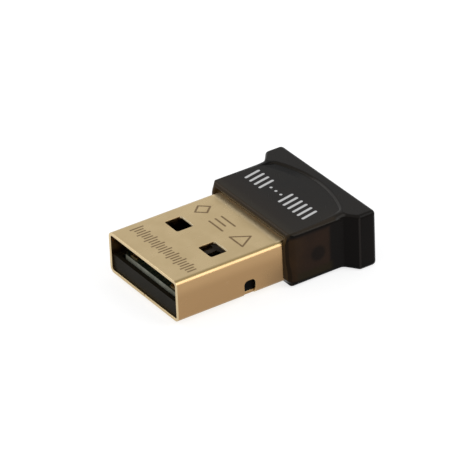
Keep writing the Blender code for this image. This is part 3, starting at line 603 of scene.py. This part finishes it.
    # The brow above the shell is painted brown: a painted glow of the gold.
    brow = times(tree, fade(tree, z, SHELL_TOP + 0.2, SHELL_TOP + 0.8), near_front)
    brow = times(tree, brow, fade_out(tree, face_x, 0.5, 0.8), fade_out(tree, face_y, -0.70, -0.12))
    colour = tint(tree, brow, colour, SMOKE_BROW_GLOW)
    # The rounded upright corner of the front is painted brown: a painted glow of the gold.
    corner = times(tree, fade(tree, outwards, *FRONT_BORDER), fade_out(tree, outwards, *CORNER_BORDER), upright)
    corner = times(tree, corner, near_front, fade_out(tree, z, *CORNER_TOP), 0.8)
    colour = tint(tree, corner, colour, SMOKE_CORNER_GLOW)

    printed = strokes(tree, place, print_lines(), PRINT_HALF_WIDTH, LINE_SOFTNESS)
    on_top = times(tree, fade(tree, z, BODY_TOP - 0.1, BODY_TOP - 0.05), level)
    thin_ink = fade(tree, noise(tree, place, 9.0, 4.0, 0.6), 0.22, 0.42, 0.8, 1.0)
    printed = times(tree, printed, on_top, thin_ink)
    colour = tint(tree, printed, colour, PRINT_WHITE)

    roughness = calc(tree, "ADD", 0.2, times(tree, grain["Clouds"], 0.07))
    roughness = calc(tree, "ADD", roughness, times(tree, wear["Scratches"], 0.12))
    roughness = calc(tree, "ADD", roughness, times(tree, printed, 0.25))
    set_shader(tree, shader, colour=colour, roughness=roughness, specular=0.06)
    height = calc(tree, "ADD", grain["Height"], times(tree, printed, 3.0))
    height = calc(tree, "SUBTRACT", height, times(tree, wear["Scratches"], 0.8))
    set_bump(tree, shader, height, 0.0016)
    return material


MOULDED_DEPTH = 0.003


def make_moulded(name, colour, shade, roughness, grain_size=0.08, specular=0.3):
    """Plain moulded plastic or ceramic with a fine grain and cloudy gloss."""
    material, tree, shader, place = begin_material(name)
    grain = place_group(tree, GRAIN, {"Vector": place, "Grain Size": grain_size, "Cloud Size": 1.5})
    wear = place_group(tree, WEAR, {"Vector": place, "Scratch Length": 1.6, "Turn": 0.2, "Amount": 0.4})
    mixed = tint(tree, grain["Clouds"], colour, shade)
    rubbed_colour = tuple(min(1, 1.6 * channel + 0.01) for channel in colour)
    mixed = tint(tree, times(tree, wear["Rubbed"], 0.3), mixed, rubbed_colour)
    rough = calc(tree, "ADD", roughness, times(tree, grain["Clouds"], 0.08))
    set_shader(tree, shader, colour=mixed, roughness=rough, specular=specular)
    height = calc(tree, "SUBTRACT", grain["Height"], times(tree, wear["Scratches"], 0.5))
    set_bump(tree, shader, height, MOULDED_DEPTH)
    return material, tree, shader, place


CARRIER_BLACK, CARRIER_SHADE = (0.0130, 0.0105, 0.0060), (0.0160, 0.0135, 0.0085)
NOTCH_PAINTED_SHADE = (0.0015, 0.0010, 0.0008)
NOTCH_SHADE_LOW, NOTCH_SHADE_HIGH, NOTCH_SHADE_SIDE = (-7, 7.2, 0), (7, 9.2, 1.9), (5.4, 5.55)


def make_black_plastic():
    """The carrier's plastic, with painted shade at the sides where the side notches look in."""
    material, tree, shader, place = make_moulded(
        "black plastic", CARRIER_BLACK, CARRIER_SHADE, 0.42, grain_size=0.1, specular=0.04,
    )
    moulded = colour_of(shader)
    # Darker where the side notches look in: painted shade.
    notch_shade = box_mask(tree, place, NOTCH_SHADE_LOW, NOTCH_SHADE_HIGH, 0.2)
    at_side = fade(tree, absolute(tree, parts_of(tree, place)["X"]), *NOTCH_SHADE_SIDE)
    set_shader(tree, shader, colour=tint(tree, times(tree, notch_shade, at_side), moulded, NOTCH_PAINTED_SHADE))
    return material


def make_metal(name, colour, shade, roughness, stretch_by=(1, 14, 1)):
    """Drawn or plated metal with fine lines."""
    material, tree, shader, place = begin_material(name)
    lines = noise(tree, stretch(tree, place, stretch_by), 2.5, 3.0, 0.6)
    grain = place_group(tree, GRAIN, {"Vector": place, "Grain Size": 0.05, "Cloud Size": 0.9})
    mixed = tint(tree, fade(tree, lines, 0.35, 0.65), colour, shade)
    mixed = tint(tree, times(tree, grain["Clouds"], 0.3), mixed, shade)
    rough = calc(tree, "ADD", roughness, times(tree, fade(tree, lines, 0.3, 0.7), 0.1))
    set_shader(tree, shader, colour=mixed, roughness=rough, metallic=1.0)
    set_bump(tree, shader, calc(tree, "ADD", lines, grain["Height"]), 0.0015)
    return material


BOARD_MASK, BOARD_MASK_SHADE = (0.010, 0.016, 0.011), (0.006, 0.010, 0.007)
BOARD_TRACK, BOARD_PATCH_HIGHLIGHT, BOARD_HOLE = (0.022, 0.034, 0.020), (0.320, 0.285, 0.250), (0.55, 0.42, 0.20)
BOARD_EDGE, BOARD_EDGE_SHADE = (0.47, 0.48, 0.40), (0.30, 0.31, 0.25)
BOARD_EDGE_DARK, BOARD_EDGE_SIDE_SHADE = (0.17, 0.18, 0.14), (0.17, 0.17, 0.12)
HIGHLIGHT_PATCH_LOW, HIGHLIGHT_PATCH_HIGH = (-1.0, 6.8, 0), (1.6, 9.0, 3)
TRACK_PITCH, TRACK_HALF_WIDTH = 0.55, (0.14, 0.2)
HOLE_RADIUS = (0.12, 0.17)


def make_board_laminate():
    """Green solder mask with tracks and plated holes, a painted highlight as a pale patch between the contacts, and
    a pale cut edge with painted shade towards its ends.
    """
    material, tree, shader, place = begin_material("board laminate")
    x = parts_of(tree, place)["X"]
    flat = fade(tree, absolute(tree, facing(tree)["Z"]), 0.6, 0.9)
    grain = place_group(tree, GRAIN, {"Vector": place, "Grain Size": 0.12, "Cloud Size": 2.0})
    cell = calc(tree, "FRACT", calc(tree, "DIVIDE", calc(tree, "ADD", x, 10.0), TRACK_PITCH))
    tracks = fade_out(tree, absolute(tree, calc(tree, "SUBTRACT", cell, 0.5)), *TRACK_HALF_WIDTH)
    runs = times(tree, tracks, fade(tree, noise(tree, stretch(tree, place, (1.8, 0.5, 0)), 1.0, 0.0), 0.48, 0.52))
    holes = add_node(tree, "ShaderNodeTexVoronoi", {"Vector": place, "Scale": 0.75, "Randomness": 0.7})
    hole = times(tree, fade_out(tree, holes.outputs["Distance"], *HOLE_RADIUS), flat)
    mask = tint(tree, grain["Clouds"], BOARD_MASK, BOARD_MASK_SHADE)
    mask = tint(tree, times(tree, runs, 0.8), mask, BOARD_TRACK)
    # A pale patch between the contacts: a painted highlight.
    mask = tint(tree, box_mask(tree, place, HIGHLIGHT_PATCH_LOW, HIGHLIGHT_PATCH_HIGH, 0.3), mask, BOARD_PATCH_HIGHLIGHT)
    mask = tint(tree, hole, mask, BOARD_HOLE)
    weave = noise(tree, stretch(tree, place, (3, 3, 26)), 1.0, 3.0, 0.6)
    edge = tint(tree, fade(tree, weave, 0.35, 0.65), BOARD_EDGE, BOARD_EDGE_SHADE)
    shaded = fade(tree, noise(tree, stretch(tree, place, (0.9, 0.9, 0.3)), 1.0, 2.0), 0.35, 0.65)
    edge = tint(tree, times(tree, shaded, 0.5), edge, BOARD_EDGE_DARK)
    # The cut edge is darker towards its ends: painted shade.
    edge = tint(tree, fade(tree, absolute(tree, x), 1.5, 4.0, 0.0, 0.45), edge, BOARD_EDGE_SIDE_SHADE)
    colour = tint(tree, flat, edge, mask)
    roughness = fade(tree, flat, 0.0, 1.0, 0.6, 0.34)
    set_shader(tree, shader, colour=colour, roughness=roughness, specular=0.35)
    height = calc(tree, "ADD", times(tree, grain["Height"], 0.3), times(tree, runs, flat, 2.0))
    set_bump(tree, shader, height, 0.004)
    return material


PAD_GOLD, PAD_SHADE, PAD_RUBBED = (0.78, 0.57, 0.26), (0.62, 0.43, 0.18), (0.62, 0.60, 0.55)


def make_contact_gold():
    """Gold flashed pads, rubbed bare in lines where a socket's springs slide."""
    material, tree, shader, place = begin_material("contact gold")
    grain = place_group(tree, GRAIN, {"Vector": place, "Grain Size": 0.05, "Cloud Size": 0.8})
    lines = noise(tree, stretch(tree, place, (18, 1, 1)), 2.0, 3.0, 0.6)
    rubbed = times(tree, fade(tree, lines, 0.5, 0.62), fade(tree, parts_of(tree, place)["Y"], 2.5, 4.0))
    colour = tint(tree, grain["Clouds"], PAD_GOLD, PAD_SHADE)
    colour = tint(tree, times(tree, rubbed, 0.6), colour, PAD_RUBBED)
    roughness = calc(tree, "ADD", 0.2, times(tree, fade(tree, lines, 0.3, 0.7), 0.12))
    set_shader(tree, shader, colour=colour, roughness=roughness, metallic=1.0)
    set_bump(tree, shader, lines, 0.0004)
    return material


TIN, TIN_SHADE, LEG_TIN = (0.62, 0.61, 0.58), (0.46, 0.45, 0.43), (0.60, 0.59, 0.56)
CAPPED_COLUMN = 3.425
CAP_SOFTNESS = 0.01


def make_end_capped(name, colour, shade, axis_half, roughness):
    """A ceramic block whose ends are tinned. The caps start at a distance from the middle of its column."""
    material, tree, shader, place = make_moulded(name, colour, shade, roughness, grain_size=0.04)
    from_middle = calc(tree, "SUBTRACT", absolute(tree, parts_of(tree, place)["X"]), CAPPED_COLUMN)
    caps = fade(tree, absolute(tree, from_middle), axis_half - CAP_SOFTNESS, axis_half + CAP_SOFTNESS)
    ceramic = colour_of(shader)
    tin = tint(tree, noise(tree, place, 9.0, 3.0), TIN, TIN_SHADE)
    set_shader(tree, shader, colour=tint(tree, caps, ceramic, tin), metallic=caps)
    return material


CHIP_EPOXY, CHIP_SHADE, CHIP_MARK = (0.016, 0.016, 0.017), (0.024, 0.024, 0.025), (0.12, 0.12, 0.12)
CHIP_MARKS = {
    "Left": -1.3, "Right": 1.3, "Pitch": 0.3,
    "Middle": 13.7, "Half Length": 0.3, "Half Width": 0.07, "Softness": 0.04,
}
LEG_ROWS = (((-6, 8.0, 0), (-1, 8.86, 2.9)), ((-6, 10.42, 0), (-1, 11.3, 2.9)))


def make_chip_black():
    """Dark epoxy with a faint row of laser marks and tinned legs below."""
    material, tree, shader, place = make_moulded("chip black", CHIP_EPOXY, CHIP_SHADE, 0.5, grain_size=0.05)
    bars = place_group(tree, TICK_ROW, {"Vector": place, **CHIP_MARKS})["Mask"]
    level = fade(tree, facing(tree)["Z"], *FACES_UP)
    marks = times(tree, bars, level, fade(tree, parts_of(tree, place)["Z"], 2.9, 3.0))
    colour = tint(tree, times(tree, marks, 0.5), colour_of(shader), CHIP_MARK)
    legs = most(tree, [box_mask(tree, place, low, high, 0.02) for low, high in LEG_ROWS])
    colour = tint(tree, legs, colour, LEG_TIN)
    set_shader(tree, shader, colour=colour, metallic=legs)
    return material


LED_EPOXY, LED_SHADE, LED_YELLOW = (0.70, 0.72, 0.66), (0.60, 0.62, 0.56), (0.75, 0.62, 0.20)
LED_CHIP, LED_CHIP_REACH = (4.05, 17.76, 2.6), (0.1, 0.5)


def make_led_clear():
    """Clear epoxy over a pale base, with the yellow of the chip in it."""
    material, tree, shader, place = make_moulded(
        "led clear", LED_EPOXY, LED_SHADE, 0.16, grain_size=0.1, specular=0.5,
    )
    from_chip = vector_calc(tree, "LENGTH", vector_calc(tree, "SUBTRACT", place, LED_CHIP))
    chip_glow = times(tree, fade_out(tree, from_chip, *LED_CHIP_REACH), 0.8)
    set_shader(tree, shader, colour=tint(tree, chip_glow, colour_of(shader), LED_YELLOW))
    return material


GOLD_STEEL = make_gold_steel()
SMOKY_PLASTIC = make_smoky_plastic()
BLACK_PLASTIC = make_black_plastic()
BOARD_LAMINATE = make_board_laminate()
CONTACT_GOLD = make_contact_gold()
CHIP_BLACK = make_chip_black()
CAN_METAL = make_metal("can metal", (0.56, 0.55, 0.53), (0.44, 0.43, 0.41), roughness=0.25)
FILTER_CERAMIC = make_moulded("filter ceramic", (0.50, 0.48, 0.42), (0.42, 0.40, 0.35), roughness=0.5)[0]
LED_CLEAR = make_led_clear()
ANTENNA_COPPER = make_metal(
    "antenna copper", (0.16, 0.24, 0.11), (0.11, 0.18, 0.08), roughness=0.3, stretch_by=(2, 2, 2),
)
CAPACITOR_TAN = make_end_capped("capacitor tan", (0.36, 0.22, 0.12), (0.30, 0.18, 0.10), 0.26, 0.45)
RESISTOR_BLACK = make_end_capped("resistor black", (0.022, 0.022, 0.023), (0.03, 0.03, 0.03), 0.26, 0.45)
BEAD_GREY = make_end_capped("bead grey", (0.075, 0.075, 0.08), (0.06, 0.06, 0.065), 0.56, 0.5)

# The CAD nodes whose shape stays
KEPT_NODES = {
    "contact_carrier": BLACK_PLASTIC,
    "circuit_board": BOARD_LAMINATE,
    "crystal": CAN_METAL,
    "rf_filter": FILTER_CERAMIC,
    "status_led": LED_CLEAR,
    "printed_antenna": ANTENNA_COPPER,
    "ferrite_bead": BEAD_GREY,
    **{f"contact_{use}": CONTACT_GOLD for use in ("supply", "data_minus", "data_plus", "ground")},
    **{chip: CHIP_BLACK for chip in ("radio_chip", "memory_chip", "voltage_regulator")},
    **{f"capacitor_{number}": CAPACITOR_TAN for number in (1, 2, 3, 4)},
    **{f"resistor_{number}": RESISTOR_BLACK for number in (1, 2, 3)},
}


# Pieces

SHARP_ANGLE = 34
FLAT_ANGLE = 0.6
NORMAL_WEIGHT = 50
SHEET_EDGE_ANGLE, SHEET_EDGE_ROUNDING, SHEET_EDGE_STEPS = 40, 0.05, 2


def merged_copy(node):
    """The mesh of a CAD node in millimetres, with its triangles joined into whole faces."""
    shape = bmesh.new()
    shape.from_mesh(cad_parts[node].data)
    bmesh.ops.scale(shape, vec=(1 / MM,) * 3, verts=shape.verts)
    bmesh.ops.remove_doubles(shape, verts=shape.verts, dist=MERGE_DISTANCE)
    bmesh.ops.dissolve_limit(
        shape, angle_limit=math.radians(FLAT_ANGLE), use_dissolve_boundaries=False,
        verts=shape.verts, edges=shape.edges, delimit=set(),
    )
    return shape


def soften(shape, angle, width, segments):
    """Rounds the edges that are sharper than an angle."""
    sharp = [
        edge for edge in shape.edges
        if len(edge.link_faces) == 2 and edge.calc_face_angle(0) > math.radians(angle)
    ]
    bmesh.ops.bevel(
        shape, geom=sharp, offset=width, offset_type="OFFSET", segments=segments, profile=0.5,
        affect="EDGES", clamp_overlap=True, material=-1, loop_slide=True,
    )


def finish_piece(name, shape, material, node):
    """Makes the piece that stands for a CAD node."""
    bmesh.ops.scale(shape, vec=(MM,) * 3, verts=shape.verts)
    mesh = bpy.data.meshes.new(name)
    shape.to_mesh(mesh)
    shape.free()
    mesh.shade_smooth()
    mesh.set_sharp_from_angle(angle=math.radians(SHARP_ANGLE))
    mesh.materials.append(material)
    piece = bpy.data.objects.new(name, mesh)
    bpy.context.scene.collection.objects.link(piece)
    weighted = piece.modifiers.new("even shading", "WEIGHTED_NORMAL")
    weighted.mode = "FACE_AREA"
    weighted.weight = NORMAL_WEIGHT
    weighted.keep_sharp = True
    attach(piece, "root")
    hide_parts(node)


def make_plug_shell():
    """The CAD shell with softened edges."""
    shape = merged_copy("usb_shell")
    soften(shape, SHEET_EDGE_ANGLE, SHEET_EDGE_ROUNDING, SHEET_EDGE_STEPS)
    finish_piece("plug_shell", shape, GOLD_STEEL, "usb_shell")


def outline_between(first, second, share):
    """Goes from the first outline to the second."""
    return [low + (high - low) * share for low, high in zip(first, second)]


def corner_of(outline, place):
    """The middle of the round corner that a place on an outline belongs to."""
    half_width, bottom, top, radius = outline
    level = top - radius if place.z > (bottom + top) / 2 else bottom + radius
    return Vector((math.copysign(half_width - radius, place.x), 0, level))


def share_of(value, start, end):
    """Goes smoothly from 0 at start to 1 at end."""
    share = min(1, max(0, (value - start) / (end - start)))
    return share * share * (3 - 2 * share)


def front_at(place):
    """How far back the front face lies: it leans back at the top and the bottom, with a hollow over the shell."""
    low = LOW_LEAN * share_of(place.z, LOW_LEAN_FROM, LOW_LEAN_TO)
    over_shell = HIGH_LEAN * share_of(place.z, HIGH_LEAN_FROM, HIGH_LEAN_TO)
    over_shell -= BROW * share_of(place.z, BROW_FROM, BROW_TO)
    beside_it = (HIGH_LEAN - BROW) * share_of(place.z, HIGH_LEAN_FROM, BROW_TO)
    beside = share_of(abs(place.x), HOLLOW_FROM, HOLLOW_TO)
    return FRONT_LEVEL + low + over_shell * (1 - beside) + beside_it * beside


def rounding_at(direction):
    """How far the front's rounding reaches back, on the side, on the top and on the bottom."""
    end = TOP_ROUNDING if direction.z > 0 else BOTTOM_ROUNDING
    return end + (SIDE_ROUNDING - end) * direction.x ** 2


def add_ring(shape, ring, before, after, back, depth=0.0):
    """Goes on from a ring of edges to an outline, corner for corner. back is the share of the rounding."""
    made = bmesh.ops.extrude_edge_only(shape, edges=ring)["geom"]
    for vert in (item for item in made if isinstance(item, bmesh.types.BMVert)):
        direction = vert.co - corner_of(before, vert.co)
        direction.y = 0
        direction.normalize()
        vert.co = corner_of(after, vert.co) + direction * after[3]
        vert.co.y = front_at(vert.co) + rounding_at(direction) * back + depth
    return [item for item in made if isinstance(item, bmesh.types.BMEdge)]


def round_front(shape):
    """Takes the front of the housing off and makes a rounded one that fits closely round the shell."""
    bmesh.ops.bisect_plane(
        shape, geom=[*shape.verts, *shape.edges, *shape.faces], dist=MERGE_DISTANCE,
        plane_co=(0, FRONT_CUT, 0), plane_no=(0, 1, 0), clear_inner=True,
    )
    rims = [edge for edge in shape.edges if len(edge.link_faces) == 1]
    middle = (BODY_BOTTOM + BODY_TOP) / 2
    reach_x = SHELL_HALF_WIDTH + OUTER_RIM_REACH
    reach_z = (BODY_TOP - BODY_BOTTOM) / 2 - OUTER_RIM_INSET
    outer = [
        edge for edge in rims
        if any(abs(vert.co.x) > reach_x or abs(vert.co.z - middle) > reach_z for vert in edge.verts)
    ]
    inner = [edge for edge in rims if edge not in outer]
    ring, outline = outer, BODY_OUTLINE
    for step in range(FRONT_STEPS + 1):
        turn = math.pi / 2 * step / FRONT_STEPS
        following = outline_between(BODY_OUTLINE, MOUTH_OUTLINE, 1 - math.cos(turn))
        ring = add_ring(shape, ring, outline, following, 1 - math.sin(turn))
        outline = following
    ring = add_ring(shape, ring, outline, MOUTH_OUTLINE, 0, MOUTH_DEPTH)
    bmesh.ops.bridge_loops(shape, edges=ring + inner)
    bmesh.ops.recalc_face_normals(shape, faces=shape.faces)


def move_shoulders(shape):
    """Makes the flare of the grip a little shorter and steeper."""
    for vert in shape.verts:
        if abs(vert.co.x) > FLARE_INSIDE and vert.co.y < SHOULDER_END:
            vert.co.y -= SHOULDER_SHIFT * share_of(vert.co.y, SHOULDER_FROM, SHOULDER_TO)


def within(value, limits):
    return limits[0] < value < limits[1]


def even_lip_ends(shape):
    """Takes the creases out of the crowded corners where the lip runs into the flare, above and below."""
    crowded = []
    for vert in shape.verts:
        x, y, z = vert.co
        if within(abs(x), LIP_END_X) and within(y, LIP_END_Y) and not within(z, LIP_END_Z):
            crowded.append(vert)
    for _ in range(LIP_END_EVENING):
        bmesh.ops.smooth_vert(
            shape, verts=crowded, factor=0.5, use_axis_x=True, use_axis_y=True, use_axis_z=True,
        )


def fillet_lip(shape):
    """Fills the corner between the body and the grip's lip, above and below."""
    crease = []
    for edge in shape.edges:
        x, y, z = (edge.verts[0].co + edge.verts[1].co) / 2
        outside = abs(z - BODY_TOP) < LEVEL_TOLERANCE or abs(z - BODY_BOTTOM) < LEVEL_TOLERANCE
        bent = edge.calc_face_angle(0) > math.radians(LIP_CREASE_ANGLE)
        if outside and bent and y > LIP_START and abs(x) < LIP_REACH:
            crease.append(edge)
    bmesh.ops.bevel(
        shape, geom=crease, offset=LIP_FILLET, offset_type="OFFSET", segments=LIP_FILLET_STEPS, profile=0.5,
        affect="EDGES", clamp_overlap=False, material=-1,
    )


def make_moulded_housing():
    """The CAD housing with a rounder front that fits closely, a steeper flare and a filled, evened lip."""
    shape = merged_copy("housing")
    bmesh.ops.translate(shape, vec=-PLUG_ORIGIN / MM, verts=shape.verts)
    round_front(shape)
    move_shoulders(shape)
    even_lip_ends(shape)
    fillet_lip(shape)
    bmesh.ops.translate(shape, vec=PLUG_ORIGIN / MM, verts=shape.verts)
    finish_piece("moulded_housing", shape, SMOKY_PLASTIC, "housing")


make_plug_shell()
make_moulded_housing()
for node_name, node_material in KEPT_NODES.items():
    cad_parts[node_name].material_slots[0].material = node_material


# Stage: floor, light and camera

BACKGROUND = 1.0
OVERHEAD = 0.7
AMBIENT = 0.55
FLOOR_HALF = 1.2
FLOOR_LEVEL = -0.02 * MM
FLOOR_COLOUR = (0.42, 0.42, 0.42)
FLOOR_LIFT = 0.75
OVERHEAD_FROM, OVERHEAD_TO = 0.55, 0.8


def seen_rays(tree):
    """1 for the rays of the camera, of reflections and of transmission."""
    path = tree.nodes.new("ShaderNodeLightPath").outputs
    return most(tree, [path["Is Camera Ray"], path["Is Glossy Ray"], path["Is Transmission Ray"]])


def make_world():
    """White where it is seen or mirrored, darker overhead, and soft as the light on the part."""
    world = bpy.data.worlds.new("studio")
    bpy.context.scene.world = world
    world.use_nodes = True
    tree = world.node_tree
    direction = parts_of(tree, tree.nodes.new("ShaderNodeTexCoord").outputs["Generated"])
    shown = fade(tree, direction["Z"], OVERHEAD_FROM, OVERHEAD_TO, BACKGROUND, OVERHEAD)
    strength = fade(tree, seen_rays(tree), 0.0, 1.0, AMBIENT, shown)
    background = tree.nodes["Background"]
    background.inputs["Color"].default_value = (1, 1, 1, 1)
    tree.links.new(strength, background.inputs["Strength"])


def make_floor():
    """A pale floor that keeps the part's shadow, is lifted to white in the picture, and is clear from below."""
    material = bpy.data.materials.new("pale floor")
    material.use_nodes = True
    tree = material.node_tree
    tree.nodes.remove(tree.nodes["Principled BSDF"])
    matt = add_node(tree, "ShaderNodeBsdfDiffuse", {"Color": full(FLOOR_COLOUR)})
    lift = times(tree, seen_rays(tree), FLOOR_LIFT)
    light = add_node(tree, "ShaderNodeEmission", {"Color": (1, 1, 1, 1), "Strength": lift})
    both = add_node(tree, "ShaderNodeAddShader", {0: matt.outputs[0], 1: light.outputs[0]})
    clear = tree.nodes.new("ShaderNodeBsdfTransparent")
    behind = tree.nodes.new("ShaderNodeNewGeometry").outputs["Backfacing"]
    sides = add_node(tree, "ShaderNodeMixShader", {0: behind, 1: both.outputs[0], 2: clear.outputs[0]})
    tree.links.new(sides.outputs[0], tree.nodes["Material Output"].inputs["Surface"])
    shape = bmesh.new()
    bmesh.ops.create_grid(shape, x_segments=1, y_segments=1, size=FLOOR_HALF)
    bmesh.ops.translate(shape, vec=(0, 0, FLOOR_LEVEL), verts=shape.verts)
    mesh = bpy.data.meshes.new("floor")
    shape.to_mesh(mesh)
    shape.free()
    mesh.materials.append(material)
    floor = bpy.data.objects.new("floor", mesh)
    bpy.context.scene.collection.objects.link(floor)


def add_softbox(name, direction, distance, size, radiance):
    """A square lamp that looks at the part. The radiance is how bright it looks beside the background's 1."""
    lamp = bpy.data.lights.new(name, "AREA")
    lamp.shape = "SQUARE"
    lamp.size = size
    lamp.energy = radiance * math.pi * size * size
    softbox = bpy.data.objects.new(name, lamp)
    towards = Vector(direction).normalized()
    softbox.location = CAMERA_AIM + towards * distance
    softbox.rotation_mode = "QUATERNION"
    softbox.rotation_quaternion = towards.to_track_quat("Z", "Y")
    bpy.context.scene.collection.objects.link(softbox)


def make_camera():
    """Stands the camera where the photograph's camera stood."""
    angles = (CAMERA_AZIMUTH, CAMERA_ELEVATION, CAMERA_ROLL)
    azimuth, elevation, roll = (math.radians(angle) for angle in angles)
    forward = Vector((
        -math.sin(azimuth) * math.cos(elevation), math.cos(azimuth) * math.cos(elevation), -math.sin(elevation),
    ))
    level_right = Vector((math.cos(azimuth), math.sin(azimuth), 0))
    level_up = level_right.cross(forward)
    right = level_right * math.cos(roll) + level_up * math.sin(roll)
    up = level_up * math.cos(roll) - level_right * math.sin(roll)
    lens = bpy.data.cameras.new("camera")
    lens.lens = CAMERA_LENS
    lens.sensor_width = SENSOR_WIDTH
    lens.clip_start = CLIP_START
    lens.clip_end = CLIP_END
    camera = bpy.data.objects.new("camera", lens)
    turn = Matrix((right, up, -forward)).transposed().to_4x4()
    camera.matrix_world = Matrix.Translation(CAMERA_AIM - forward * CAMERA_DISTANCE) @ turn
    bpy.context.scene.collection.objects.link(camera)
    bpy.context.scene.camera = camera


make_world()
make_floor()
add_softbox("front_softbox", direction=(-0.72, -0.50, 0.46), distance=0.30, size=0.16, radiance=2.4)
add_softbox("rear_softbox", direction=(0.62, 0.46, 0.62), distance=0.30, size=0.20, radiance=2.2)
make_camera()
bpy.context.scene.view_settings.view_transform = "Standard"
